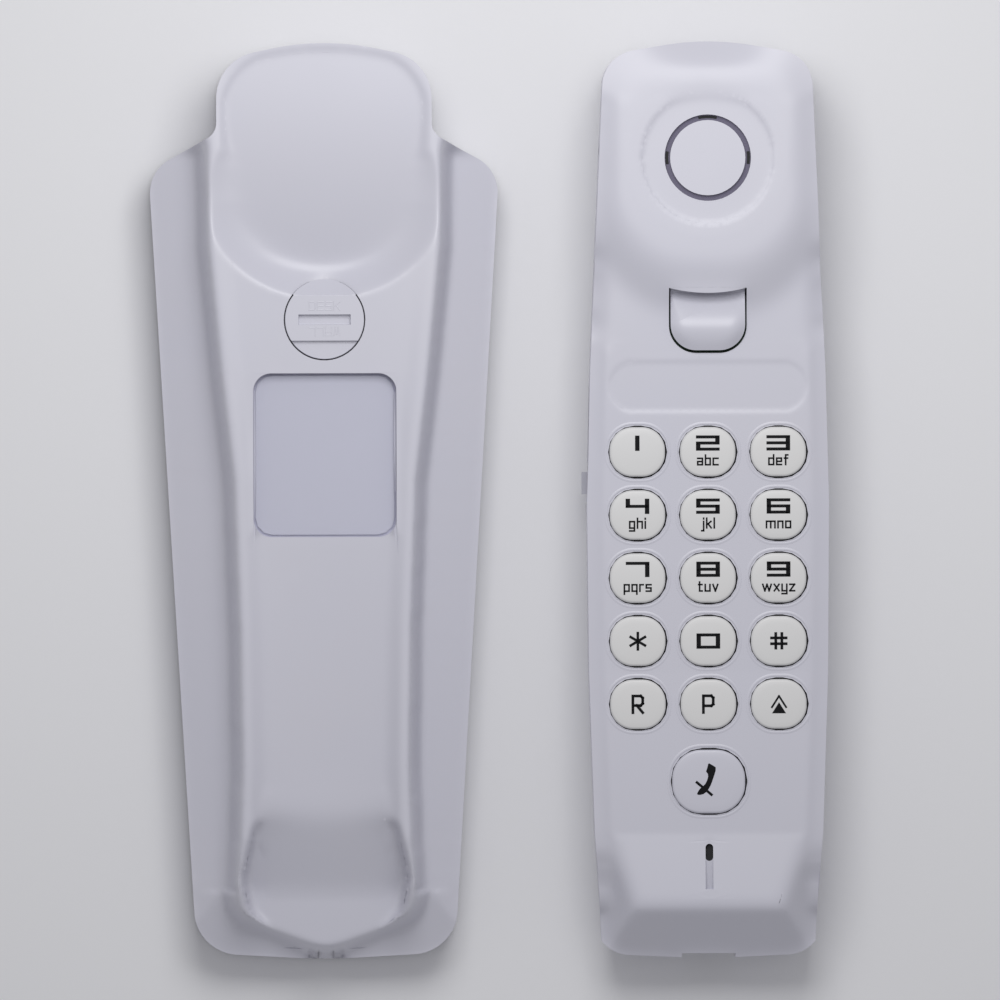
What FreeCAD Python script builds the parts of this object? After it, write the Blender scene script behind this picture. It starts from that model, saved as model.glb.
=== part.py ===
import FreeCAD, Part
import math
import os

# A slim corded telephone: a cradle on the left and its handset on the right, both lying face up.
# Millimetres. X runs across, Y along both pieces towards the ear end, Z up from the table.
# Each piece is drawn about its own long axis, and moved to its place at the end.

# Places on the table, and the least round that is worth drawing
piece_gap = 20.3            # between the cradle's and the handset's widest stretches
least_round = 1.0
drum_sides = 16             # faces round a hidden round piece

# Cradle, outside form
base_length = 215.0
neck_half = 25.2            # half width of the ear cup's outside
neck_foot = base_length / 2 - 21.5      # where the cup's sides meet the shoulders
end_bow_radius = 60.0
neck_bow = 4.5              # fall of the cup's top edge from its middle to its corners
neck_corner = 11.0
shoulder_half = 41.1
shoulder_at = base_length / 2 - 30.0
shoulder_round = 9.0
foot_half = 30.3
foot_bow = 1.6
foot_round = 10.6
edge_height = 13.0          # top of the cradle's low outer wall
flank_rise = 3.0            # rise of the flank from that wall to the spine's foot
flank_round = 8.0
spine_top = 28.0
spine_batter = 3.5          # how far the spine's side wall leans in
lip_width = 2.6
lip_slope = 2.9
trough_bow = 0.35           # share of the trough's depth that its hollow floor makes up
base_wall = 2.2
nose_shelf = 15.5           # height of the flank round the nose, before it slopes down to the end
nose_slope = 0.36           # fall of that slope per millimetre
nose_slope_from = -base_length / 2 + 15.5
nose_half = 21.6
nose_tip = 2.6
nose_batter = 0.3           # lean of the nose's wall per millimetre of height
nose_level = 18.0           # height at which the nose has the outline above

# Cradle, bowl for the ear end and pocket for the mouth end
rim_wall = 2.0
bowl_at = base_length / 2 - 36.9
bowl_half = 27.7
bowl_reach = 23.4
bowl_floor = 19.8           # deepest, at the well's foot
bowl_rise = 3.4             # rise of the floor from there to the cup's end
well_foot = bowl_at - 14.0
well_foot_half = 17.0
well_shoulder = bowl_at + 13.0
bowl_steps = ((9.0, 0.0), (1.8, 4.6), (0.0, 8.4))      # drawn in by, height above the floor
pocket_top = -base_length / 2 + 32.7
pocket_toe = -base_length / 2 + 16.1
pocket_wide = -base_length / 2 + 19.0
pocket_corner = -base_length / 2 + 11.1
pocket_end = -base_length / 2 - 2.5     # beyond the nose, so the floor runs out at its tip
pocket_floor = 16.4
pocket_half = 19.4

# Turning wall hook
hook_at = bowl_at - 28.2
hook_radius = 9.25
hook_chord = 5.8
hook_thick = 4.2
hook_step = 1.0
hook_stem_radius = 2.6
hook_stem = 7.2
hook_end_play = 0.8
hook_screw_radius = 1.0
hook_crescent = 5.0           # where the lower crescent starts, below the disc's centre
hook_gap = 0.3
coin_slot = (12.2, 2.4, 1.2)    # length, width, depth

# Index window
window_at = hook_at - 31.7
window_half = 16.6
window_length = 38.0
window_round = 4.2
window_top = 26.4
window_thick = 1.5
card_thick = 0.3
window_gap = 0.15
card_inset = 0.4

# Bottom plate, feet, ballast
foot_pad_height = 1.0
foot_pad_half = 5.0
foot_pad_sink = 0.8
plate_thick = 2.0
plate_gap = 0.2
keyhole_spacing = 83.0      # between the two wall studs
keyhole_centre = -10.0
keyhole_head = 4.6
keyhole_neck = 2.3
keyhole_run = 8.0
ballast = (40.0, 32.0, 4.5)
ballast_at = bowl_at - 0.6
bay_half = 8.6
bay_length = 36.0
bay_at = -10.0
bay_top = 17.0
bay_wall = 1.6
channel_half = 2.8
channel_depth = 1.2
kerb_height = 2.0
boss_radius = 3.2
screw_radius = 1.4
screw_gap = 0.05
screw_head_radius = 2.7
screw_head = 1.6
screw_length = 8.0
base_screws_at = ((22.0, bowl_at - 23.6), (-22.0, -base_length / 2 + 23.5))
foot_pads = ((31.0, bowl_at - 4.6), (18.0, -base_length / 2 + 15.0))

# Modular jacks
line_jack = (13.0, 13.4, 12.0)      # width, depth, height
line_socket = (9.9, 11.0, 6.9)
cord_jack = (10.6, 12.4, 9.6)
cord_socket = (7.9, 10.4, 6.6)
latch_slot = (3.4, 1.9)
contact_wire = 0.45
jack_seat_gap = 0.1
jack_pedestal = 1.2
jack_setback = 5.2          # of the handset's jack from its end
cord_setback = 7.2          # of the cradle's jack from its end

# Handset, outside form
handset_length = 215.0
grip_half = 28.6
handset_bow = 3.6
chin_bow = 1.2
handset_corner = 8.5
chin_half = grip_half - 1.7
top_half = grip_half - 4.3
grip_widest = -6.0
back_inset = 5.0            # the flat back is narrower than the handset by this on each side
back_round = 9.0
back_cuts = 3               # straight cuts round the back's long edges
side_round = 9.0
face_round = 3.2
parting = 11.0              # height of the seam between back and face mouldings
handset_wall = 2.0
chin_at = -handset_length / 2 + 12.0
chin_top = 27.0
# along, how much narrower than the grip on each side, height of the face, and how far its edge is drawn in
handset_stations = (
    (handset_length / 2 + 1.0, 4.4, 25.4, 1.6),
    (handset_length / 2 - 64.5, 1.1, 25.0, 1.6),
    (0.0, 0.0, 24.4, 1.6),
    (chin_at + 55.5, 0.3, 24.0, 1.6),
    (chin_at + 17.5, 1.5, 24.6, 2.4),
    (chin_at, 2.1, chin_top, 8.6),
    (-handset_length / 2 - 1.0, 2.5, chin_top + 0.2, 10.5),
)
end_knee = 12.0
end_round = 9.0

# Ear block
ear_top = 29.8
# height below the ear face, half width, lower end, its corner's radius, upper end and its corner's radius
ear_rings = (
    (13.8, grip_half, handset_length / 2 - 68.9, 28.4, handset_length / 2 + 1.5, 10.0),
    (4.9, grip_half - 0.8, handset_length / 2 - 65.1, 27.6, handset_length / 2 - 0.3, 10.0),
    (2.4, grip_half - 3.7, handset_length / 2 - 59.3, 22.5, handset_length / 2 - 2.3, 9.0),
    (0.7, grip_half - 5.9, handset_length / 2 - 55.1, 19.0, handset_length / 2 - 4.1, 8.5),
    (0.0, grip_half - 7.4, handset_length / 2 - 52.5, 17.5, handset_length / 2 - 5.5, 8.0),
)
ear_centre = handset_length / 2 - 27.5
dish_radius = 15.4
dish_depth = 0.4
groove_inner = 8.8
groove_outer = 10.1
groove_depth = 1.2
ear_slot = 2.3              # half the length of a sound slot in the groove

# Label recess and microphone hole, with the keypad between them
strip_at = handset_length / 2 - 81.0
strip_half = 23.2
strip_length = 11.9
strip_depth = 0.4
mic_at = -handset_length / 2 + 25.0
mic_hole = (0.9, 2.0)       # half width, half length
mic_groove = (6.6, 0.4)     # length and depth of the groove below the hole

# Keys: five rows and the lowest, larger key share the face between label recess and microphone
column_pitch = 16.5
row_pitch = (strip_at - mic_at - 20.5) / 6
key_width = column_pitch - 3.4
key_length = row_pitch - 3.05
key_round = 5.8
key_cuts = 4                # straight cuts round each corner of a key and of its hole
key_proud = 1.2
key_gap = 0.35
key_flange = 0.4
key_flange_thick = 0.8
key_travel = 1.0
key_slack = 0.3             # between a key's flange and the shell above it
first_row = strip_at - strip_length / 2 - key_length / 2 - 3.5
flash_width = column_pitch + 0.7
flash_length = row_pitch + 0.25
flash_round = 7.2
flash_at = first_row - 4 * row_pitch - key_length / 2 - 4.75 - flash_length / 2

# Hook switch tongue
tongue_half = 8.7
tongue_end = strip_at + 8.5
tongue_gap = 0.4
tongue_round = 6.0
tongue_top = 28.2
tongue_pivot = (tongue_end + 17.0, 23.2)
tongue_thick = 2.6
pin_radius = 1.0
pin_gap = 0.05
pin_half = 12.5
opening_end = tongue_pivot[0] - 2.4

# Inside the handset
board_half = 21.5
board_upper = tongue_end + 11.5
board_lower = flash_at - 10.6
board_thick = 1.6
dome_height = 0.9
dome_half = 3.0
membrane_thick = 0.6
dome_gap = 0.2
receiver_radius = 17.0
receiver_height = 4.5
receiver_gap = 0.3
receiver_flange = 2.0
magnet_radius = 9.0
magnet_height = 3.5
mic_radius = 4.85
mic_height = 4.5
mic_boot_wall = 1.0
mic_gap = 0.7
ringer_at = 10.0
ringer_radius = 13.5
ringer_thick = 0.6
ringer_rib = 1.6
ringer_slots = 5
ringer_slot_pitch = 3.0
screw_sink = 2.3            # how deep the handset's screw heads lie in its back
notch_half = 6.3
notch_depth = 1.2
handset_screws_at = ((17.0, handset_length / 2 - 11.0), (-19.0, mic_at - 5.5))
switch_at = 4.0
knob_size = (3.2, 5.2, 2.6)
knob_proud = 0.8
knob_travel = 2.0
knob_gap = 0.3

# Places worked out from the sizes above
base_half = shoulder_half - 0.3     # the round shoulder stays just inside its corner
whole_width = 2 * base_half + piece_gap + 2 * grip_half
base_x = -whole_width / 2 + base_half
handset_x = whole_width / 2 - grip_half
base_end = base_length / 2
handset_end = handset_length / 2
lowest_face = min(station[2] for station in handset_stations)
flange_top = lowest_face - handset_wall - key_slack
dome_top = flange_top - key_flange_thick - key_travel - dome_gap
membrane_bottom = dome_top - dome_height - membrane_thick
board_bottom = membrane_bottom - board_thick
plate_bottom = foot_pad_height
plate_top = plate_bottom + plate_thick
hook_top = spine_top - 0.4


def point(x, y, z):
    return FreeCAD.Vector(x, y, z)


def plan(height):
    """Places outline points flat at a height."""
    return lambda a, b: point(a, b, height)


def across(along):
    """Places outline points in a section across the piece."""
    return lambda a, b: point(a, along, b)


def profile(x):
    """Places outline points in a side view: first along, then up."""
    return lambda a, b: point(x, a, b)


def rounded(corners, place):
    """Closed wire round a polygon of (a, b, radius), with an arc at each corner that has a radius."""
    count = len(corners)
    arcs = []
    for i in range(count):
        a, b, radius = corners[i]
        if radius == 0:
            arcs.append(((a, b),))
            continue
        before = corners[i - 1]
        after = corners[(i + 1) % count]
        back = math.hypot(before[0] - a, before[1] - b)
        ahead = math.hypot(after[0] - a, after[1] - b)
        ua, ub = (before[0] - a) / back, (before[1] - b) / back
        wa, wb = (after[0] - a) / ahead, (after[1] - b) / ahead
        half = math.acos(max(-1.0, min(1.0, ua * wa + ub * wb))) / 2
        reach = radius / math.tan(half)
        bisector = math.hypot(ua + wa, ub + wb)
        depth = (radius / math.sin(half) - radius) / bisector
        start = (a + ua * reach, b + ub * reach)
        middle = (a + (ua + wa) * depth, b + (ub + wb) * depth)
        end = (a + wa * reach, b + wb * reach)
        arcs.append((start, middle, end))
    edges = []
    for i in range(count):
        arc = arcs[i]
        following = arcs[(i + 1) % count][0]
        if len(arc) == 3:
            edges.append(Part.Arc(place(*arc[0]), place(*arc[1]), place(*arc[2])).toShape())
        edges.append(Part.LineSegment(place(*arc[-1]), place(*following)).toShape())
    return Part.Wire(edges)


def inset(corners, distance):
    """The polygon with each side moved inwards, and radii to match; a small one becomes a sharp corner."""
    count = len(corners)
    area = 0.0
    for i in range(count):
        area += corners[i - 1][0] * corners[i][1] - corners[i][0] * corners[i - 1][1]
    turn = 1.0 if area > 0 else -1.0
    moved = []
    for i in range(count):
        a, b, radius = corners[i]
        before = corners[i - 1]
        after = corners[(i + 1) % count]
        back = math.hypot(a - before[0], b - before[1])
        ahead = math.hypot(after[0] - a, after[1] - b)
        na, nb = -(b - before[1]) / back * turn, (a - before[0]) / back * turn
        ma, mb = -(after[1] - b) / ahead * turn, (after[0] - a) / ahead * turn
        share = distance / (1 + na * ma + nb * mb)
        bend = (na * mb - nb * ma) * turn
        grown = radius - distance if bend > 0 else radius + distance
        if radius == 0 or grown < least_round:
            grown = 0
        moved.append((a + (na + ma) * share, b + (nb + mb) * share, grown))
    return moved


def arc_ends(before, corner, after):
    """Where the arc at a polygon's corner starts and ends, and how far the polygon turns there."""
    a, b, radius = corner
    back = math.hypot(a - before[0], b - before[1])
    ahead = math.hypot(after[0] - a, after[1] - b)
    ua, ub = (a - before[0]) / back, (b - before[1]) / back
    wa, wb = (after[0] - a) / ahead, (after[1] - b) / ahead
    turn = math.atan2(ua * wb - ub * wa, ua * wa + ub * wb)
    reach = radius * math.tan(abs(turn) / 2)
    return (a - ua * reach, b - ub * reach), (a + wa * reach, b + wb * reach), turn


def straightened(corners, cuts=1, kept=()):
    """The polygon with straight cuts for its outward arcs and sharp inward corners, for hidden edges."""
    count = len(corners)
    turns = [arc_ends(corners[i - 1], corners[i], corners[(i + 1) % count]) for i in range(count)]
    around = sum(turn for _, _, turn in turns)
    straight = []
    for i in range(count):
        a, b, radius = corners[i]
        start, end, turn = turns[i]
        if i in kept:
            straight.append(corners[i])
        elif radius == 0 or turn * around < 0:
            straight.append((a, b, 0))
        else:
            reach = radius * math.tan(abs(turn) / 2)
            out_a, out_b = (start[1] - b) / reach, (a - start[0]) / reach
            if turn > 0:
                out_a, out_b = -out_a, -out_b
            for step in range(cuts + 1):
                angle = turn * step / cuts
                ring_a = out_a * math.cos(angle) - out_b * math.sin(angle)
                ring_b = out_a * math.sin(angle) + out_b * math.cos(angle)
                along_a = start[0] + (ring_a - out_a) * radius
                along_b = start[1] + (ring_b - out_b) * radius
                straight.append((along_a, along_b, 0))
    return straight


def sharp(corners):
    return [(a, b, 0) for a, b, _ in corners]


def walled(corners, wall, place, cuts=1):
    """Wire of an outline: with its arcs for the outside, with straight cuts for the inside of a wall."""
    if wall == 0:
        return rounded(corners, place)
    return rounded(straightened(inset(corners, wall), cuts), place)


def mirrored(right):
    """A closed polygon from its right half, listed from bottom to top."""
    return list(right) + [(-a, b, radius) for a, b, radius in reversed(right)]


def ends_and_sides(lower, right, upper):
    """A closed plan from its two middle corners and its right side."""
    left = [(-a, b, radius) for a, b, radius in reversed(right)]
    return [lower] + list(right) + [upper] + left


def prism(wire, direction):
    return Part.Face(wire).extrude(direction)


def block(x0, x1, y0, y1, z0, z1):
    return Part.makeBox(x1 - x0, y1 - y0, z1 - z0, point(x0, y0, z0))


def rod(radius, height, x, y, z, direction=None):
    return Part.makeCylinder(radius, height, point(x, y, z), direction or point(0, 0, 1))


def drum(radius, height, x, y, z, outside=False):
    """Round piece or hole with few faces, for what is hidden; its corners or its flats lie on the radius."""
    if outside:
        radius = radius / math.cos(math.pi / drum_sides)
    turns = [2 * math.pi * i / drum_sides for i in range(drum_sides)]
    corners = [(x + radius * math.cos(turn), y + radius * math.sin(turn), 0) for turn in turns]
    return prism(rounded(corners, plan(z)), point(0, 0, height))


def loft(wires):
    """Solid through sections of the same make."""
    return Part.makeLoft(wires, True, True)


def bowed(end, fall, half):
    """Middle corner of a bowed end, set out so that its arc just reaches the end."""
    slope = math.atan2(fall, half)
    out = end_bow_radius * (1 / math.cos(slope) - 1)
    return (0.0, end + math.copysign(out, end), end_bow_radius)


def obround(half_a, half_b, x, y, radius=None):
    """A rectangle with round corners about a centre; full half rounds if no radius is given."""
    corner = radius or min(half_a, half_b) - 0.01
    return [
        (x - half_a, y - half_b, corner),
        (x + half_a, y - half_b, corner),
        (x + half_a, y + half_b, corner),
        (x - half_a, y + half_b, corner),
    ]


def square(half, x, y):
    signs = ((-1, -1), (1, -1), (1, 1), (-1, 1))
    return [(x + across_sign * half, y + along_sign * half, 0) for across_sign, along_sign in signs]


# The cradle

def base_outline():
    """Plan of the cradle: foot, long tapering sides, shoulders and the narrow ear cup."""
    right = [
        (foot_half, -base_end + foot_bow, foot_round),
        (shoulder_half, shoulder_at, shoulder_round),
        (neck_half, neck_foot, 4.0),
        (neck_half, base_end - neck_bow, neck_corner),
    ]
    return ends_and_sides(bowed(-base_end, foot_bow, foot_half), right, bowed(base_end, neck_bow, neck_half))


def side_half(along):
    """Half width of the cradle at its low outer wall."""
    share = (along - (-base_end + foot_bow)) / (shoulder_at + base_end - foot_bow)
    return foot_half + (shoulder_half - foot_half) * share


def spine_stations():
    """Along, half width, crest and trough height of the spine, from the ear end to the nose."""
    return (
        (base_end + 4.0, 27.9, spine_top, spine_top - 0.3),
        (base_end - 47.5, 27.4, spine_top, spine_top - 0.3),
        (base_end - 77.5, 24.5, spine_top, spine_top - 0.8),
        (base_end - 102.5, 21.6, spine_top, spine_top - 1.7),
        (-base_end + 77.5, 20.3, spine_top, spine_top - 2.9),
        (-base_end + 45.5, 19.8, spine_top, spine_top - 3.8),
        (-base_end + 28.5, 20.3, spine_top - 0.2, spine_top - 4.0),
        (-base_end + 17.5, 21.4, spine_top - 2.6, spine_top - 5.6),
        (-base_end + 9.5, 19.8, spine_top - 7.5, spine_top - 10.7),
        (-base_end - 2.0, 16.5, spine_top - 10.5, spine_top - 11.6),
    )


def trough_middle(half, edge, trough):
    """Middle corner of the trough's hollow floor: its arc takes nine tenths of the way to the edges."""
    middle = 2 * trough - edge
    slope = math.atan2(edge - middle, half)
    return (0.0, middle, 0.9 * half / math.sin(slope))


def base_section(along, half, crest, trough, foot):
    """Outside of the cradle across its length: wall, hollow flank, steep spine side, lip, trough."""
    edge = side_half(along)
    floor_edge = trough + trough_bow * (crest - trough)
    right = [
        (edge, foot, 0),
        (edge, edge_height, 0),
        (half + spine_batter, edge_height + flank_rise, flank_round),
        (half, crest, 0),
        (half - lip_width, crest, 0),
        (half - lip_width - lip_slope, floor_edge, 0),
    ]
    left = [(-a, b, radius) for a, b, radius in reversed(right)]
    return rounded(right + [trough_middle(right[-1][0], floor_edge, trough)] + left, across(along))


def base_hollow_section(along, half, crest, trough, foot):
    """Inside of the cradle across its length, one wall in from the outside."""
    edge = side_half(along)
    drop = (crest - trough) / (crest - edge_height - flank_rise)
    right = [
        (edge, foot, 0),
        (edge, edge_height, 0),
        (half + spine_batter, edge_height + flank_rise, 0),
        (half + spine_batter * drop, trough, 0),
    ]
    return rounded(inset(mirrored(right), base_wall), across(along))


def base_body():
    return loft([base_section(*station, plate_bottom) for station in spine_stations()])


def base_hollow():
    room = loft([base_hollow_section(*station, -base_wall * 3) for station in spine_stations()])
    fence = prism(walled(base_outline(), base_wall, plan(-base_wall * 3)), point(0, 0, 60))
    return room.common(fence)


def nose_cut(grown):
    """What is taken off round the end of the spine, down to the flank that slopes to the end."""
    right = [
        (nose_half, -base_end + 10.5, 6.0),
        (nose_half + 3.8, -base_end + 21.5, 0),
        (nose_half + 9.0, -base_end + 60.0, 0),
    ]
    left = [(-a, b, radius) for a, b, radius in reversed(right)]
    spine = [(0.0, -base_end + nose_tip, 9.0)] + right + left
    if grown:
        spine = sharp(spine)
    shelf = nose_shelf - grown
    low = shelf - 8.0
    rings = []
    for height in (low, spine_top + 1.0):
        lean = (height - nose_level) * nose_batter
        rings.append(rounded(inset(spine, grown + lean), plan(height)))
    end = -base_end - 5.0
    side = [
        (end, shelf - (nose_slope_from - end) * nose_slope, 0),
        (nose_slope_from, shelf, 0 if grown else 14.0),
        (-base_end + 47.5, shelf, 0),
        (-base_end + 47.5, spine_top + 1.0, 0),
        (end, spine_top + 1.0, 0),
    ]
    reach = shoulder_half + 9
    around = prism(rounded(side, profile(-reach)), point(2 * reach, 0, 0))
    return around.cut(loft(rings))


def cup_well():
    """Plan of the hollow between the cup's walls, narrowing like a shield towards the spine."""
    half = neck_half - rim_wall
    right = [
        (well_foot_half, well_foot, 9.0),
        (half, well_shoulder, 30.0),
        (half, base_end - neck_bow - rim_wall, neck_corner - rim_wall),
    ]
    left = [(-a, b, radius) for a, b, radius in reversed(right)]
    return right + [bowed(base_end - rim_wall, neck_bow, half)] + left


def ellipse(half, reach, height, sides=0):
    """Closed ellipse about the bowl's centre, or a polygon of so many sides just round it."""
    if sides == 0:
        return Part.Wire([Part.Ellipse(point(0, bowl_at, height), half, reach).toShape()])
    out = 1 / math.cos(math.pi / sides)
    turns = [2 * math.pi * i / sides for i in range(sides)]
    corners = [(out * half * math.cos(turn), bowl_at + out * reach * math.sin(turn), 0) for turn in turns]
    return rounded(corners, plan(height))


def bowl(grown):
    """The hollow for the ear end: the cup's well and the wide dish in the spine, over a sloping floor."""
    rings = [
        ellipse(bowl_half - inner + grown, bowl_reach - inner + grown, bowl_floor + height - grown,
                drum_sides if grown else 0)
        for inner, height in bowl_steps
    ]
    well = sharp(inset(cup_well(), -grown)) if grown else cup_well()
    room = loft(rings).fuse(prism(rounded(well, plan(bowl_floor - grown)), point(0, 0, spine_top)))
    near = bowl_at - bowl_reach - 9.0
    floor = [
        (near, bowl_floor - grown, 0),
        (well_foot, bowl_floor - grown, 0),
        (base_end + 9.0, bowl_floor + bowl_rise - grown, 0),
        (base_end + 9.0, spine_top + 9.0, 0),
        (near, spine_top + 9.0, 0),
    ]
    reach = shoulder_half
    return room.common(prism(rounded(floor, profile(-reach)), point(2 * reach, 0, 0)))


def pocket(grown):
    """The mouth pocket at the spine's lower end, cut down from the trough and open at the nose's tip."""
    right = [
        (pocket_half - 1.6, pocket_corner, 5.0),
        (pocket_half, pocket_wide, 12.0),
        (pocket_half - 3.2, pocket_top, 3.0),
    ]
    left = [(-a, b, radius) for a, b, radius in reversed(right)]
    corners = inset([(0.0, pocket_end, 8.0)] + right + left, -grown)
    if grown:
        corners = sharp(corners)
    hole = prism(rounded(corners, plan(0)), point(0, 0, spine_top + 9))
    floor = pocket_floor - grown
    side = [
        (pocket_top + 2.0, spine_top - 3.4 - grown, 0),
        (pocket_toe, floor, 0 if grown else 9.0),
        (pocket_end - 6.0, floor, 0),
        (pocket_end - 6.0, spine_top + 9, 0),
        (pocket_top + 2.0, spine_top + 9, 0),
    ]
    reach = pocket_half + 9
    return hole.common(prism(rounded(side, profile(-reach)), point(2 * reach, 0, 0)))


def hook_pocket(grown):
    radius = hook_radius + hook_gap + grown
    depth = hook_thick + hook_gap + grown
    if grown:
        return drum(radius, depth + 6, 0, hook_at, hook_top - depth, True)
    return rod(radius, depth + 6, 0, hook_at, hook_top - depth)


def window_seat(grown):
    corners = obround(window_half + window_gap + grown, window_length / 2 + window_gap + grown,
                      0, window_at, window_round + grown)
    if grown:
        corners = sharp(corners)
    depth = window_thick + card_thick + window_gap + grown
    return prism(rounded(corners, plan(window_top - depth)), point(0, 0, depth + 4))


def cord_opening(y, z, depth):
    """Mouth of the handset cord's jack in an end wall, with the slot for the plug's latch."""
    width, _, height = cord_socket
    mouth = block(-width / 2, width / 2, y, y + depth, z, z + height)
    slot = block(-latch_slot[0] / 2, latch_slot[0] / 2, y, y + depth, z - latch_slot[1], z)
    return mouth.fuse(slot)


def base_cover():
    outer = base_body().cut(nose_cut(0))
    outer = outer.common(prism(rounded(base_outline(), plan(plate_bottom)), point(0, 0, spine_top + 9)))
    hollow = base_hollow().cut([nose_cut(base_wall), bowl(rim_wall), pocket(base_wall),
                                hook_pocket(base_wall), window_seat(base_wall)])
    solid = outer.cut([bowl(0), pocket(0), hook_pocket(0), window_seat(0)])
    cover = solid.cut(hollow)
    floor = plate_top + plate_gap
    bosses = [drum(boss_radius, spine_top, x, y, floor) for x, y in base_screws_at]
    bosses.append(rod(hook_stem_radius + base_wall, hook_stem, 0, hook_at, hook_seat()))
    cover = cover.fuse([boss.common(solid) for boss in bosses])
    pilots = [drum(screw_radius + screw_gap, screw_length + 1, x, y, floor - 1, True)
              for x, y in base_screws_at]
    pilots.append(rod(hook_stem_radius + pin_gap, spine_top, 0, hook_at, plate_top))
    cover = cover.cut(pilots)
    opening = cord_opening(-base_end - 1, base_jack_floor() + jack_mouth(cord_jack, cord_socket), 6)
    return cover.cut(opening).removeSplitter()


def hook_seat():
    """Height of the face under the cover that the hook's washer bears on."""
    return hook_top - hook_thick - hook_stem - hook_end_play


def base_jack_floor():
    return plate_top + jack_seat_gap


def jack_mouth(body, socket):
    """Height of a socket's floor above the bottom of its jack."""
    return (body[2] - socket[2]) / 2 + 0.6


def jack(body, socket, y, z, facing):
    """A modular jack: its moulded body with the stepped socket. facing is -1 or 1 along the piece."""
    width, depth, height = body
    y0, y1 = sorted((y, y - facing * depth))
    shell = block(-width / 2, width / 2, y0, y1, z, z + height)
    floor = z + jack_mouth(body, socket)
    back = y - facing * socket[1]
    s0, s1 = sorted((y + facing, back))
    mouth = block(-socket[0] / 2, socket[0] / 2, s0, s1, floor, floor + socket[2])
    latch = block(-latch_slot[0] / 2, latch_slot[0] / 2, s0, s1, floor - latch_slot[1], floor)
    shoulder = y - facing * 2.0
    t0, t1 = sorted((shoulder, back))
    step = block(-latch_slot[0] / 2 - 1.2, latch_slot[0] / 2 + 1.2, t0, t1, floor - 1.0, floor)
    return shell.cut([mouth, latch, step])


def contacts(body, socket, y, z, facing, count, pitch=1.02):
    """Sprung wires that run from the back of the jack down into its socket."""
    wires = []
    top = z + jack_mouth(body, socket) + socket[2]
    inside = y - facing * (socket[1] - 0.4)
    front = y - facing * 3.2
    for i in range(count):
        x = (i - (count - 1) / 2) * pitch
        upper = Part.makePolygon([
            point(x - contact_wire / 2, front, top - 0.02),
            point(x - contact_wire / 2, front, top - contact_wire),
            point(x - contact_wire / 2, inside, top - 3.6),
            point(x - contact_wire / 2, inside, top - 3.6 + contact_wire),
            point(x - contact_wire / 2, front - facing * 1.6, top - 0.02),
            point(x - contact_wire / 2, front, top - 0.02),
        ])
        wires.append(Part.Face(upper).extrude(point(contact_wire, 0, 0)))
    return Part.makeCompound(wires)


def keyhole(y, z0, z1):
    """A stud's head goes in low and slides up into the narrow neck."""
    head = rod(keyhole_head, z1 - z0, 0, y - keyhole_run, z0)
    neck_slot = block(-keyhole_neck, keyhole_neck, y - keyhole_run, y, z0, z1)
    end = rod(keyhole_neck, z1 - z0, 0, y, z0)
    return head.fuse([neck_slot, end])


def line_jack_face():
    """Where the line jack's mouth stands in its bay, along the cradle."""
    return bay_at + bay_length / 2 - line_jack[1] - bay_wall


def foot_places():
    return [(side * x, y) for side in (-1, 1) for x, y in foot_pads]


def tray(grown, height):
    """Block over the ballast's place on the plate, grown on every side."""
    half, reach = ballast[0] / 2 + grown, ballast[1] / 2 + grown
    return block(-half, half, ballast_at - reach, ballast_at + reach, plate_top - 0.1, plate_top + height)


def base_plate():
    """Flat plate with the line jack's bay, the keyholes and a kerb round the ballast."""
    outline = walled(base_outline(), base_wall + plate_gap, plan(plate_bottom))
    plate = prism(outline, point(0, 0, plate_thick))
    lower, upper = bay_at - bay_length / 2, bay_at + bay_length / 2
    bay_outer = block(-bay_half, bay_half, lower, upper, plate_bottom, bay_top)
    inner_half = bay_half - bay_wall
    bay_inner = block(-inner_half, inner_half, lower + bay_wall, upper - bay_wall,
                      plate_bottom - 1, bay_top - bay_wall)
    kerb = tray(bay_wall, kerb_height).cut(tray(jack_seat_gap, kerb_height + 1))
    plate = plate.fuse(bay_outer).cut(bay_inner).fuse(kerb)
    holes = [keyhole(keyhole_centre + side * keyhole_spacing / 2, plate_bottom - 1, plate_top + 3)
             for side in (-1, 1)]
    channel = block(-channel_half, channel_half, -base_end - 1, lower + bay_wall + 1,
                    plate_bottom - 1, plate_bottom + channel_depth)
    for x, y in base_screws_at:
        holes.append(drum(screw_radius + 0.3, screw_length, x, y, plate_bottom - 1, True))
        holes.append(drum(screw_head_radius + 0.2, screw_head, x, y, plate_bottom, True))
    half = foot_pad_half + jack_seat_gap
    for x, y in foot_places():
        bed_top = plate_bottom + foot_pad_sink
        holes.append(block(x - half, x + half, y - half, y + half, plate_bottom - 1, bed_top))
    return plate.cut(holes + [channel])


def base_feet():
    half = foot_pad_half
    pads = [block(x - half, x + half, y - half, y + half, 0, foot_pad_height + foot_pad_sink)
            for x, y in foot_places()]
    return Part.makeCompound(pads)


def screw(x, y, z, length):
    """Self-tapping screw with its head at z and its shank going up."""
    return drum(screw_head_radius, screw_head - 0.1, x, y, z).fuse(drum(screw_radius, length, x, y, z))


def base_screws():
    return Part.makeCompound([screw(x, y, plate_bottom + 0.1, screw_length) for x, y in base_screws_at])


def ballast_plate():
    corners = straightened(obround(ballast[0] / 2, ballast[1] / 2, 0, ballast_at, 3.0))
    return prism(rounded(corners, plan(plate_top)), point(0, 0, ballast[2]))


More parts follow.
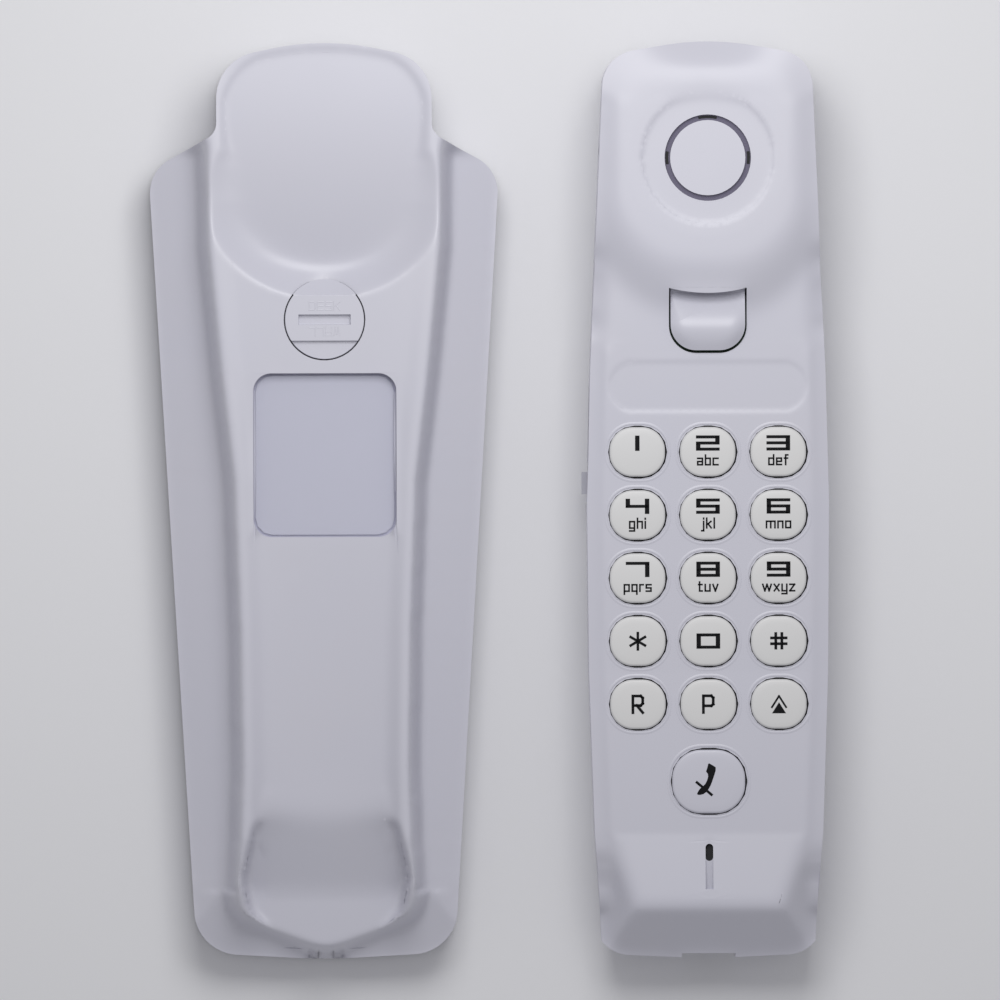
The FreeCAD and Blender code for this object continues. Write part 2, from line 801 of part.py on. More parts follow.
def wall_hook():
    """Disc with a straight side at the bowl, a coin slot, a lower crescent and a stem."""
    under = hook_top - hook_thick
    plate = rod(hook_radius, hook_thick, 0, hook_at, under)
    around = 2 * hook_radius
    beyond = block(-around, around, hook_at + hook_chord, hook_at + around, 0, spine_top)
    low = block(-around, around, hook_at - around, hook_at - hook_crescent, hook_top - hook_step, spine_top)
    length, width, depth = coin_slot
    near = hook_at - width / 2
    slot = block(-length / 2, length / 2, near, near + width, hook_top - depth, spine_top)
    stem = rod(hook_stem_radius, hook_stem, 0, hook_at, under - hook_stem)
    pilot = drum(hook_screw_radius + screw_gap, hook_stem, 0, hook_at, under - hook_stem - 0.1, True)
    return plate.cut([beyond, low, slot]).fuse(stem).cut(pilot)


def hook_screw():
    """Screw and washer that hold the hook's stem under the cover."""
    seat = hook_seat() - 0.1
    washer = drum(hook_stem_radius + 1.8, 0.8, 0, hook_at, seat - 0.8)
    head = drum(2 * hook_screw_radius, 1.2, 0, hook_at, seat - 2.0)
    shank = drum(hook_screw_radius, hook_stem, 0, hook_at, seat - 1.0)
    return head.fuse([washer, shank])


def index_window():
    corners = obround(window_half, window_length / 2, 0, window_at, window_round)
    return prism(rounded(corners, plan(window_top - window_thick)), point(0, 0, window_thick))


def index_card():
    corners = straightened(obround(window_half - card_inset, window_length / 2 - card_inset, 0, window_at,
                                   window_round - card_inset), 3)
    level = window_top - window_thick - card_thick
    return prism(rounded(corners, plan(level)), point(0, 0, card_thick))


# The handset

def handset_outline():
    """Plan of the handset: bowed ends, round corners, sides that swell a little at the grip."""
    right = [
        (chin_half - 0.3, -handset_end + chin_bow, handset_corner),
        (grip_half + 0.55, grip_widest, 900.0),
        (top_half, handset_end - handset_bow, handset_corner),
    ]
    lower = bowed(-handset_end, chin_bow, chin_half)
    return ends_and_sides(lower, right, bowed(handset_end, handset_bow, top_half))


def grip_section(along, narrower, top, drawn_in, wall):
    half = grip_half - narrower
    right = [
        (half - back_inset, 0.0, back_round),
        (half, parting, side_round),
        (half - drawn_in, top, face_round),
    ]
    if wall:
        return walled(mirrored(right), wall, across(along))
    sides = range(1, 2 * len(right) - 1)
    return rounded(straightened(mirrored(right), back_cuts, sides), across(along))


def ear_block(wall):
    """The raised ear face, which slopes down to the grip: round at its foot, nearly square at its far end."""
    rings = []
    for drop, half, lower, lower_round, upper, upper_round in ear_rings:
        height = ear_top - drop - wall
        corners = mirrored([(half, lower, lower_round), (half, upper, upper_round)])
        rings.append(walled(corners, wall, plan(height), key_cuts))
    return loft(rings)


def side_view(wall):
    """Side outline of the whole handset, which shapes its two ends."""
    corners = [
        (-handset_end, 0.0, end_round),
        (handset_end, 0.0, end_round),
        (handset_end, 19.0, 12.0),
        (handset_end - 4.0, ear_top + 2.0, 0),
        (chin_at + 3.0, ear_top + 2.0, 0),
        (chin_at, chin_top + 0.4, 1.5),
        (-handset_end, end_knee, 5.0),
    ]
    reach = grip_half + 9
    return prism(rounded(inset(corners, wall), profile(-reach)), point(2 * reach, 0, 0))


def handset_form(wall):
    """The handset as one solid, with every outside face moved in by the wall."""
    grip = loft([grip_section(*station, wall) for station in handset_stations])
    fence = prism(walled(handset_outline(), wall, plan(-1)), point(0, 0, ear_top + 9))
    return grip.fuse(ear_block(wall)).common(fence).common(side_view(wall))


def face_height(along):
    """Height of the keypad face at a place along the handset."""
    for low, high in zip(handset_stations[1:], handset_stations[:-1]):
        if low[0] <= along <= high[0]:
            share = (along - low[0]) / (high[0] - low[0])
            return low[2] + (high[2] - low[2]) * share
    return handset_stations[-1][2]


def key_names():
    """Name, column and row of each small key."""
    rows = (
        ("key_1", "key_2", "key_3"),
        ("key_4", "key_5", "key_6"),
        ("key_7", "key_8", "key_9"),
        ("key_star", "key_0", "key_hash"),
        ("key_recall", "key_pause", "key_redial"),
    )
    return [(name, column, row) for row, names in enumerate(rows) for column, name in enumerate(names)]


def key_place(column, row):
    return (column - 1) * column_pitch, first_row - row * row_pitch


def key_outline(x, y, width, length, radius, grown):
    """Nearly oval plan, its round corners made of a few straight cuts; grown evenly for its hole."""
    return inset(straightened(obround(width / 2, length / 2, x, y, radius), key_cuts), -grown)


def key(x, y, width, length, radius):
    """Cap with round corners, and the wider flange that keeps it in its hole."""
    top = face_height(y) + key_proud
    cap = prism(rounded(key_outline(x, y, width, length, radius, 0), plan(flange_top)),
                point(0, 0, top - flange_top))
    half_a = width / 2 + key_gap + key_flange
    half_b = length / 2 + key_gap + key_flange
    flange = block(x - half_a, x + half_a, y - half_b, y + half_b, flange_top - key_flange_thick, flange_top)
    return cap.fuse(flange)


def key_hole(x, y, width, length, radius):
    return prism(rounded(key_outline(x, y, width, length, radius, key_gap), plan(board_bottom)),
                 point(0, 0, 30))


def ear_holes():
    """Shallow dish, the ring groove in it and the four sound slots through it."""
    dish = rod(dish_radius, dish_depth, 0, ear_centre, ear_top - dish_depth)
    floor = ear_top - dish_depth - groove_depth
    ring = rod(groove_outer, 9, 0, ear_centre, floor).cut(rod(groove_inner, 9, 0, ear_centre, floor))
    middle = (groove_inner + groove_outer) / 2
    half = (groove_outer - groove_inner) / 2
    slots = []
    for a, b in ((1, 0), (0, 1), (-1, 0), (0, -1)):
        half_x, half_y = (half, ear_slot) if a else (ear_slot, half)
        x = a * middle
        y = ear_centre + b * middle
        low = ear_top - 2 * handset_wall
        slots.append(block(x - half_x, x + half_x, y - half_y, y + half_y, low, ear_top))
    return [dish, ring] + slots


def tongue_plan(grown):
    """Plan of the tongue, round at its free end and running under the skirt at its pin."""
    half = tongue_half + grown
    free_end = tongue_end - grown * 1.6
    behind = tongue_pivot[0] + 3.0
    return [
        (-half, free_end, tongue_round + grown),
        (half, free_end, tongue_round + grown),
        (half, behind, 0),
        (-half, behind, 0),
    ]


def tongue_opening():
    hole = prism(rounded(tongue_plan(tongue_gap), plan(board_bottom + board_thick)), point(0, 0, ear_top))
    return hole.common(block(-grip_half, grip_half, 0, opening_end, 0, ear_top))


def hook_lever():
    """U-shaped tongue on its cross pin; it tips down when the handset lies in the cradle."""
    pivot_y, pivot_z = tongue_pivot
    side = [
        (tongue_end, tongue_top - tongue_thick - 0.6, 0),
        (pivot_y + 1.9, pivot_z - 1.7, 0),
        (pivot_y + 1.9, pivot_z + 1.7, 0),
        (opening_end - 1.0, pivot_z + 0.8, 0),
        (tongue_end + 6.0, tongue_top + 0.2, 0),
        (tongue_end, tongue_top - 1.6, 0),
    ]
    leaf = prism(rounded(side, profile(-tongue_half)), point(2 * tongue_half, 0, 0))
    leaf = leaf.common(prism(rounded(tongue_plan(0), plan(0)), point(0, 0, ear_top)))
    hole = rod(pin_radius + pin_gap, 2 * pin_half, -pin_half, pivot_y, pivot_z, point(1, 0, 0))
    return leaf.cut(hole)


def hook_pin():
    return rod(pin_radius, 2 * pin_half, -pin_half, *tongue_pivot, point(1, 0, 0))


def pin_lugs():
    """Two lugs inside the skirt that hold the tongue's pin."""
    pivot_y, pivot_z = tongue_pivot
    lugs = []
    for side in (-1, 1):
        x0, x1 = sorted((side * (tongue_half + tongue_gap + 0.2), side * (pin_half + 0.4)))
        lugs.append(block(x0, x1, pivot_y - 2.2, pivot_y + 2.2, pivot_z - 2.4, ear_top))
    return lugs


def knob_slot():
    """Opening in the left side wall for the ringer slider."""
    _, length, height = knob_size
    half = length / 2 + knob_travel + knob_gap
    return block(-grip_half - 9, -grip_half + 6, switch_at - half, switch_at + half,
                 parting - height / 2 - knob_gap, parting + height / 2 + knob_gap)


def everywhere(low, high):
    """Slab over the whole handset between two heights."""
    return block(-grip_half - 9, grip_half + 9, -handset_end - 9, handset_end + 9, low, high)


def handset_face(outer, near, hollow):
    above = everywhere(parting, ear_top + 9)
    inner = near.common(above)
    posts = [drum(boss_radius, ear_top, x, y, parting) for x, y in handset_screws_at]
    shell = outer.common(above).cut(hollow)
    shell = shell.fuse([post.common(inner) for post in posts + pin_lugs()])
    cuts = [key_hole(*key_place(column, row), key_width, key_length, key_round)
            for _, column, row in key_names()]
    cuts.append(key_hole(0, flash_at, flash_width, flash_length, flash_round))
    cuts.append(label_recess())
    cuts.append(tongue_opening())
    cuts.append(rod(pin_radius + pin_gap, 2 * pin_half + 0.2, -pin_half - 0.1, *tongue_pivot, point(1, 0, 0)))
    cuts.append(prism(rounded(obround(*mic_hole, 0, mic_at), plan(parting)), point(0, 0, ear_top)))
    cuts += ear_holes()
    cuts.append(knob_slot())
    groove_length, groove_sink = mic_groove
    cuts.append(block(-mic_hole[0], mic_hole[0], mic_at - mic_hole[1] - groove_length, mic_at,
                      face_height(mic_at) - groove_sink, ear_top))
    cuts += [drum(screw_radius + screw_gap, screw_length + 1, x, y, parting - 1, True)
             for x, y in handset_screws_at]
    cuts.append(end_recess())
    return shell.cut(cuts).removeSplitter()


def label_recess():
    """Shallow recess with round ends above the keypad, of even depth below the sloping face."""
    outline = rounded(obround(strip_half, strip_length / 2, 0, strip_at), plan(parting))
    strip = prism(outline, point(0, 0, ear_top))
    bed = loft([grip_section(*station, strip_depth) for station in handset_stations[1:3]])
    return strip.cut(bed)


def handset_jack_floor():
    return handset_wall + jack_pedestal + jack_seat_gap


def handset_jack_mouth():
    """Where the handset jack's front stands, along the handset."""
    return -handset_end + jack_setback


def end_recess():
    """Shallow notch in the lower end round the cord's socket."""
    return block(-notch_half, notch_half, -handset_end - 1, -handset_end + notch_depth,
                 0.8, parting + 3.5)


def ringer_ribs():
    """Two ribs on the back's inside that carry the ringer's sounder disc."""
    reach = ringer_radius - 2.0
    ribs = []
    for side in (-1, 1):
        x = side * ringer_radius * 0.6
        ribs.append(block(x - 0.8, x + 0.8, ringer_at - reach, ringer_at + reach,
                          handset_wall - 0.1, handset_wall + ringer_rib))
    return ribs


def handset_back(outer, near, hollow):
    below = everywhere(-1, parting)
    inner = near.common(below)
    posts = [drum(boss_radius, parting, x, y, 0) for x, y in handset_screws_at]
    front = handset_jack_mouth()
    pedestal = block(-cord_jack[0] / 2, cord_jack[0] / 2, front - 0.2, front + cord_jack[1],
                     handset_wall - 0.1, handset_wall + jack_pedestal)
    shell = outer.common(below).cut(hollow)
    shell = shell.fuse([post.common(inner) for post in posts] + ringer_ribs() + [pedestal])
    cuts = []
    for x, y in handset_screws_at:
        cuts.append(drum(screw_radius + 0.3, parting + 2, x, y, -1, True))
        cuts.append(drum(screw_head_radius + 0.3, screw_sink + screw_head + 1, x, y, -1, True))
    floor = handset_jack_floor() + jack_mouth(cord_jack, cord_socket)
    cuts.append(cord_opening(-handset_end - 1, floor, 6))
    cuts.append(end_recess())
    cuts.append(knob_slot())
    for i in range(ringer_slots):
        y = ringer_at + (i - (ringer_slots - 1) / 2) * ringer_slot_pitch
        cuts.append(block(-6, 6, y - 0.6, y + 0.6, -1, handset_wall + 1))
    return shell.cut(cuts).removeSplitter()


def handset_screws():
    length = parting + screw_length - 3.0
    return Part.makeCompound([screw(x, y, screw_sink + 0.1, length) for x, y in handset_screws_at])


def circuit_board():
    right = [
        (board_half, board_lower, 2.0),
        (board_half, board_upper - 14, 0),
        (board_half - 9.5, board_upper, 0),
    ]
    return prism(rounded(mirrored(right), plan(board_bottom)), point(0, 0, board_thick))


def board_parts():
    """Dialler chip, capacitor and bridge on the underside of the board."""
    under = board_bottom
    chip = block(-9, 9, -34, -24, under - 2.6, under)
    bridge = block(8, 14, -60, -50, under - 3.2, under)
    can = drum(3.1, 7.5, -12, -52, under - 7.5)
    return Part.makeCompound([chip, bridge, can])


def dome(x, y, base):
    """Rubber dome under a key."""
    return block(x - dome_half, x + dome_half, y - dome_half, y + dome_half, base, base + dome_height)


def keypad_membrane():
    """Rubber sheet with one dome under each key."""
    upper = first_row + key_length / 2 + 2.4
    lower = flash_at - flash_length / 2 - 1.1
    half = board_half - 0.4
    sheet = block(-half, half, lower, upper, membrane_bottom, membrane_bottom + membrane_thick)
    base = membrane_bottom + membrane_thick
    places = [key_place(column, row) for _, column, row in key_names()] + [(0, flash_at)]
    return sheet.fuse([dome(x, y, base) for x, y in places])


def receiver_top():
    return ear_top - handset_wall - receiver_gap


def receiver_frame():
    """Basket of the small loudspeaker: a flange over a narrower can."""
    top = receiver_top()
    flange = drum(receiver_radius, receiver_flange, 0, ear_centre, top - receiver_flange)
    can = drum(receiver_radius - 3.0, receiver_height, 0, ear_centre, top - receiver_height)
    return flange.fuse(can)


def receiver_magnet():
    top = receiver_top() - receiver_height
    return drum(magnet_radius, magnet_height, 0, ear_centre, top - magnet_height)


def mic_top():
    return face_height(mic_at) - handset_wall - mic_gap


def microphone():
    return drum(mic_radius, mic_height, 0, mic_at, mic_top() - mic_boot_wall - mic_height)


def mic_boot():
    """Square rubber boot round the microphone."""
    bottom = mic_top() - mic_boot_wall - mic_height
    half = mic_radius + mic_boot_wall
    boot = block(-half, half, mic_at - half, mic_at + half, bottom, mic_top())
    return boot.cut(drum(mic_radius + 0.02, mic_height, 0, mic_at, bottom))


def ringer_disc():
    return drum(ringer_radius, ringer_thick, 0, ringer_at, handset_wall + ringer_rib)


def hook_switch():
    """Small microswitch on the board with its plunger under the tongue."""
    top = board_bottom + board_thick
    body = block(-6.4, 6.4, 38.0, 43.8, top, top + 3.4)
    return body.fuse(block(-1.2, 1.2, 39.6, 41.6, top + 3.4, top + 4.4))


def ringer_switch():
    depth, length, height = knob_size
    x = -grip_half + handset_wall + 1.6
    return block(x, x + 4.6, switch_at - 5.0, switch_at + 5.0, parting - 2.4, board_bottom)


def ringer_knob():
    """Slider knob in the left side wall, with a stem towards its switch."""
    depth, length, height = knob_size
    x = -grip_half - knob_proud
    knob = block(x, x + depth, switch_at - length / 2, switch_at + length / 2,
                 parting - height / 2, parting + height / 2)
    stem = block(x + depth - 0.1, -grip_half + handset_wall + 1.4, switch_at - 1.2, switch_at + 1.2,
                 parting - 0.9, parting + 0.9)
    return knob.fuse(stem)


# Every piece, in its place

def on_base():
    floor = base_jack_floor()
    cord_front = -base_end + cord_setback
    line_front = line_jack_face()
    line_floor = bay_top - bay_wall - line_jack[2] - 0.1
    return {
        "base_cover": base_cover(),
        "base_plate": base_plate(),
        "base_feet": base_feet(),
        "base_screws": base_screws(),
        "ballast_plate": ballast_plate(),
        "wall_hook": wall_hook(),
        "hook_screw": hook_screw(),
        "index_window": index_window(),
        "index_card": index_card(),
        "base_cord_jack": jack(cord_jack, cord_socket, cord_front, floor, -1),
        "base_cord_contacts": contacts(cord_jack, cord_socket, cord_front, floor, -1, 4),
        "line_jack": jack(line_jack, line_socket, line_front, line_floor, -1),
        "line_contacts": contacts(line_jack, line_socket, line_front, line_floor, -1, 4),
    }


def on_handset():
    floor = handset_jack_floor()
    front = handset_jack_mouth()
    forms = [handset_form(wall) for wall in (0, 0.2, handset_wall)]
    pieces = {
        "handset_face": handset_face(*forms),
        "handset_back": handset_back(*forms),
        "handset_screws": handset_screws(),
        "circuit_board": circuit_board(),
        "board_parts": board_parts(),
        "keypad_membrane": keypad_membrane(),
        "receiver_frame": receiver_frame(),
        "receiver_magnet": receiver_magnet(),
        "microphone": microphone(),
        "mic_boot": mic_boot(),
        "ringer_disc": ringer_disc(),
        "hook_switch": hook_switch(),
        "hook_lever": hook_lever(),
        "hook_pin": hook_pin(),
        "handset_jack": jack(cord_jack, cord_socket, front, floor, -1),
        "handset_contacts": contacts(cord_jack, cord_socket, front, floor, -1, 4),
        "ringer_switch": ringer_switch(),
        "ringer_knob": ringer_knob(),
        "key_flash": key(0, flash_at, flash_width, flash_length, flash_round),
    }
    for name, column, row in key_names():
        pieces[name] = key(*key_place(column, row), key_width, key_length, key_round)
    return pieces


os.makedirs("parts", exist_ok=True)
for home, pieces in ((base_x, on_base()), (handset_x, on_handset())):
    for name, shape in pieces.items():
        shape.translate(point(home, 0, 0))
        shape.exportStep("parts/" + name + ".step")
        box = shape.BoundBox
        print(name, len(shape.Solids), shape.isValid(), round(shape.Volume, 1),
              [round(value, 2) for value in (box.XMin, box.XMax, box.YMin, box.YMax, box.ZMin, box.ZMax)])
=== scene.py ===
# %% [markdown]
# # A slim corded telephone, dressed for a studio photograph
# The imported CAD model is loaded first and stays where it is. Every visible piece below is either
# a softened copy of a CAD moulding or is drawn in mesh code from that moulding's own box, so the
# looks and the motion model share one frame: metres, X across, Y along, Z up from the table.

# %% Load the frame
import math

import bmesh
import bpy
import numpy as np
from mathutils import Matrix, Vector
from mathutils.bvhtree import BVHTree


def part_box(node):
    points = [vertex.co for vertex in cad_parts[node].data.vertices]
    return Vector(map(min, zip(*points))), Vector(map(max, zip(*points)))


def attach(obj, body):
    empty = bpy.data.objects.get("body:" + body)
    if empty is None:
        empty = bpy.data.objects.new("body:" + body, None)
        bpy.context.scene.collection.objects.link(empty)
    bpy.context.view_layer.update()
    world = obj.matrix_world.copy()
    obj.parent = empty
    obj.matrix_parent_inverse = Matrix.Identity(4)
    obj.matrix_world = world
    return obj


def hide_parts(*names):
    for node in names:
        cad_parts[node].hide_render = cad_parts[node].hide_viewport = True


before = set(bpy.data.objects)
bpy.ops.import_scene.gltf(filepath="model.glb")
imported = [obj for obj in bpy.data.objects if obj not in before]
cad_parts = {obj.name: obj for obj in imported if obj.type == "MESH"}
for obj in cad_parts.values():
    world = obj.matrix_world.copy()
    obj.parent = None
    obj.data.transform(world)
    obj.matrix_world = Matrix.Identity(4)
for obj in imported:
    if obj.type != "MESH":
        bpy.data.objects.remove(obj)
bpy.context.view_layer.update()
mm = 0.001

# %% [markdown]
# ## Camera
# The photograph looks straight down, and its raised parts hardly lean outwards, so the lens is a
# long one from far above. The view is 234.5 mm wide at the height of the outlines. The small lean
# and roll bring the cradle's and the handset's middle lines to where the photograph has them.

# %% Camera over the table
view_width = 234.5 * mm
camera_distance = 5.0
lean = math.radians(0.8)
roll = math.radians(-0.17)
sensor = 36.0
lens_data = bpy.data.cameras.new("Camera")
lens_data.sensor_width = sensor
lens_data.lens = sensor * camera_distance / view_width
camera = bpy.data.objects.new("Camera", lens_data)
aim = Vector((2.35, 0.3, 14.0)) * mm
camera.location = aim + camera_distance * Vector((-math.sin(lean), 0, math.cos(lean)))
camera.rotation_euler = (0, -lean, roll)
bpy.context.scene.collection.objects.link(camera)
bpy.context.scene.camera = camera
print("lens", round(lens_data.lens, 1), "mm")

# %% [markdown]
# ## Colours and nodes
# Colours are written as they look on a screen, and one function turns them into the linear
# values that the shader works in. One small helper adds a node and sets its inputs.

# %% Colour and node helpers


def linear(code):
    """Linear RGBA from an sRGB hex colour."""
    values = [int(code[i:i + 2], 16) / 255 for i in (1, 3, 5)]
    return [v / 12.92 if v <= 0.04045 else ((v + 0.055) / 1.055) ** 2.4 for v in values] + [1.0]


def add_node(tree, kind, links=None, **inputs):
    """A node with values for its inputs and links from other sockets."""
    node = tree.nodes.new("ShaderNode" + kind)
    for key, value in inputs.items():
        socket = node.inputs[key.replace("_", " ")]
        socket.default_value = value
    for key, source in (links or {}).items():
        tree.links.new(source, node.inputs[key])
    return node


def new_material(name, colour, **surface):
    """A material with one Principled shader. Returns it with its tree and shader."""
    material = bpy.data.materials.new(name)
    material.use_nodes = True
    tree = material.node_tree
    shader = tree.nodes["Principled BSDF"]
    shader.inputs["Base Color"].default_value = linear(colour)
    for key, value in surface.items():
        shader.inputs[key.replace("_", " ")].default_value = value
    return material, tree, shader


def noise(tree, size, detail=2.0):
    """Noise whose largest features are about `size` metres across, in the object's own space."""
    place = add_node(tree, "TexCoord")
    return add_node(tree, "TexNoise", {"Vector": place.outputs["Object"]}, Scale=1.0 / size, Detail=detail)


def spread(tree, source, low, high):
    """Maps a 0 to 1 pattern to a narrow span of values."""
    return add_node(tree, "MapRange", {"Value": source.outputs["Fac"]}, To_Min=low, To_Max=high)


def tint(tree, shader, colour, other, pattern):
    """Lets the base colour drift between two close shades with a pattern."""
    mix = tree.nodes.new("ShaderNodeMix")
    mix.data_type = "RGBA"
    mix.inputs["A"].default_value = linear(colour)
    mix.inputs["B"].default_value = linear(other)
    tree.links.new(pattern.outputs["Fac"], mix.inputs["Factor"])
    tree.links.new(mix.outputs["Result"], shader.inputs["Base Color"])


def emboss(tree, shader, pattern, height):
    """Bump from a pattern, with its real height in metres."""
    bump = add_node(tree, "Bump", {"Height": pattern.outputs["Fac"]}, Strength=1.0, Distance=height)
    tree.links.new(bump.outputs["Normal"], shader.inputs["Normal"])


# %% [markdown]
# ## Materials
# Each one is named for the real material and how it is made. Moulded ABS takes the fine spark
# texture of its tool: the real pits are 20 to 50 micrometres wide and are drawn about five
# times coarser here, so that they don't fall below a pixel.

# %% Moulded plastics


def moulded(name, colour, other, roughness, pit=0.00022, depth=0.000004):
    """Injection-moulded plastic: spark texture, slow colour drift, patchy gloss from handling."""
    material, tree, shader = new_material(name, colour, IOR=1.54)
    tint(tree, shader, colour, other, noise(tree, 0.030))
    handled = spread(tree, noise(tree, 0.012, 4.0), roughness - 0.04, roughness + 0.05)
    tree.links.new(handled.outputs["Result"], shader.inputs["Roughness"])
    emboss(tree, shader, noise(tree, pit, 3.0), depth)
    return material


shell_abs = moulded("abs_lavender_satin", "#C9C9D4", "#CBCAD3", 0.36)
plate_abs = moulded("abs_lavender_spark_textured", "#BFBFC9", "#C2C1C9", 0.58, depth=0.000012)
key_abs = moulded("abs_warm_white_double_shot", "#D6D6D6", "#D8D7D6", 0.42)
knob_abs = moulded("abs_grey_slider", "#B9B9C3", "#BCBBC3", 0.40)
jack_pbt = moulded("pbt_black_glass_filled", "#17171A", "#1C1C1F", 0.50)
foot_rubber = moulded("rubber_grey_compression_moulded", "#3A3A3D", "#444446", 0.80, depth=0.00002)
silicone = moulded("silicone_rubber_keypad", "#8E9094", "#96989B", 0.62)
# painted shade: a near-black set where only shade falls, in the gaps round the keys, the ear slots and the
# mouthpiece's hole
gap_shade_black = moulded("black_painted_shade_in_gaps", "#121215", "#17171A", 0.70)
# painted shade: a dark purple-grey ring for the shade deep in the earpiece's groove
groove_shade_dark = moulded("painted_shade_ear_groove", "#6A6678", "#767284", 0.92, 0.0004, 0.00008)
# painted highlight: a white for the glints along the window pane's long sides
glint_white = moulded("painted_glint_white", "#E6E6EE", "#DCDCE6", 0.55, 0.0004, 0.00002)

# %% Ink, card, window and the metals inside


def metal(name, colour, roughness, grain, depth):
    """Bare or plated metal with a fine grain."""
    material, tree, shader = new_material(name, colour, Metallic=1.0, Roughness=roughness)
    emboss(tree, shader, noise(tree, grain, 4.0), depth)
    return material


def clear_window():
    """Clear acrylic sheet: a see-through layer and a gloss that grows at a slant."""
    material, tree, shader = new_material("acrylic_clear_moulded", "#F4F6FA", IOR=1.49, Roughness=0.08)
    handled = spread(tree, noise(tree, 0.010), 0.05, 0.12)
    tree.links.new(handled.outputs["Result"], shader.inputs["Roughness"])
    clear = add_node(tree, "BsdfTransparent", Color=linear("#F8F8FC"))
    mix = add_node(tree, "MixShader", Fac=0.06)
    tree.links.new(clear.outputs["BSDF"], mix.inputs[1])
    tree.links.new(shader.outputs["BSDF"], mix.inputs[2])
    tree.links.new(mix.outputs["Shader"], tree.nodes["Material Output"].inputs["Surface"])
    return material


card_paper, tree, shader = new_material("paper_card_uncoated", "#D6D6D8", Roughness=0.85)
tint(tree, shader, "#D5D5D7", "#D8D8DA", noise(tree, 0.0012, 6.0))  # faint fibres
black_ink, tree, shader = new_material("pad_printed_black_ink", "#0A0A0E", IOR=1.45, Specular_IOR_Level=0.2)
gloss = spread(tree, noise(tree, 0.0008, 3.0), 0.55, 0.70)
tree.links.new(gloss.outputs["Result"], shader.inputs["Roughness"])
acrylic = clear_window()
zinc_steel = metal("steel_zinc_plated_headed", "#B9BABD", 0.34, 0.0005, 0.000006)
raw_steel = metal("steel_mild_stamped", "#77787B", 0.46, 0.0012, 0.00001)
gold_wire = metal("phosphor_bronze_gold_plated", "#D8AE5E", 0.24, 0.0003, 0.000002)
can_metal = metal("aluminium_deep_drawn", "#C4C5C7", 0.28, 0.0006, 0.000003)
laminate = moulded("glass_epoxy_laminate_lacquered", "#1F5A33", "#246238", 0.30, 0.0005, 0.00001)
print("materials", len(bpy.data.materials))

# %% [markdown]
# ## Mesh helpers
# Drawn pieces grow from rows or rings of points, written in millimetres in the part's frame.
# These few functions turn them into pieces that ride on their bodies.

# %% Boxes, points, bridges and finished pieces


def box_mm(node):
    """The low and high corner of a CAD node's box."""
    return [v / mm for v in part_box(node)]


def middle_x(node):
    low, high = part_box(node)
    return (low.x + high.x) / 2 / mm


def cad_tree(node):
    """A CAD node's surface, for rays and nearest points. In metres."""
    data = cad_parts[node].data
    return BVHTree.FromPolygons([v.co for v in data.vertices], [q.vertices for q in data.polygons])


def point(form, x, y, z):
    return form.verts.new(Vector((x, y, z)) * mm)


def bridge(form, rows, closed=False):
    """Quads between rows of equal count, or between rings where they are closed."""
    for low, high in zip(rows[:-1], rows[1:]):
        for i in range(len(low) if closed else len(low) - 1):
            j = (i + 1) % len(low)
            form.faces.new((low[i], low[j], high[j], high[i]))


def finished(form, name, sharp=None):
    """Mesh object from a bmesh, shaded smooth up to a sharp angle in degrees."""
    bmesh.ops.remove_doubles(form, verts=form.verts, dist=0.0005 * mm)
    bmesh.ops.recalc_face_normals(form, faces=form.faces)
    for face_ in form.faces:
        face_.smooth = True
    mesh = bpy.data.meshes.new(name)
    form.to_mesh(mesh)
    form.free()
    if sharp:
        mesh.set_sharp_from_angle(angle=math.radians(sharp))
    return bpy.data.objects.new(name, mesh)


def link(obj, material, body, *nodes):
    """Puts a finished piece in the scene, on its body, in place of the CAD nodes it stands for."""
    obj.data.materials.append(material)
    bpy.context.scene.collection.objects.link(obj)
    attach(obj, body)
    if nodes:
        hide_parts(*nodes)


# %% [markdown]
# ## Mouldings with blended surfaces
# The designer of such a shell blends every change of slope, so that no crease shows in the gloss.
# Each shell starts as a copy of its CAD moulding, which gives the outline, the holes and the
# inside. Its top is then divided finely and laid onto a height map: the CAD heights seen from
# above, averaged over a few millimetres. Zones say how far the averaging reaches.

# %% Height maps and blended skins
map_step = 0.4  # spacing of the height map
sky_z = 60.0  # rays start above every piece
least_lean = 0.1  # faces belong to the top if their normal rises at least this much
least_step_lean = -0.05  # where upright faces belong to it too
weld = 0.02  # corners closer than this are one
down = Vector((0, 0, -1))
up = Vector((0, 0, 1))


def blurred(values, mask, reach):
    """Gaussian average of the masked values, with the reach in millimetres."""
    if reach < map_step / 2:
        return values
    count = math.ceil(3 * reach / map_step)
    kernel = np.exp(-0.5 * (np.arange(-count, count + 1) * map_step / reach) ** 2)

    def smooth(field):
        padded = np.pad(field, count)
        for axis in (0, 1):
            padded = np.apply_along_axis(np.convolve, axis, padded, kernel, "same")
        return padded[count:-count, count:-count]

    return smooth(values * mask) / np.maximum(smooth(mask), 1e-12)


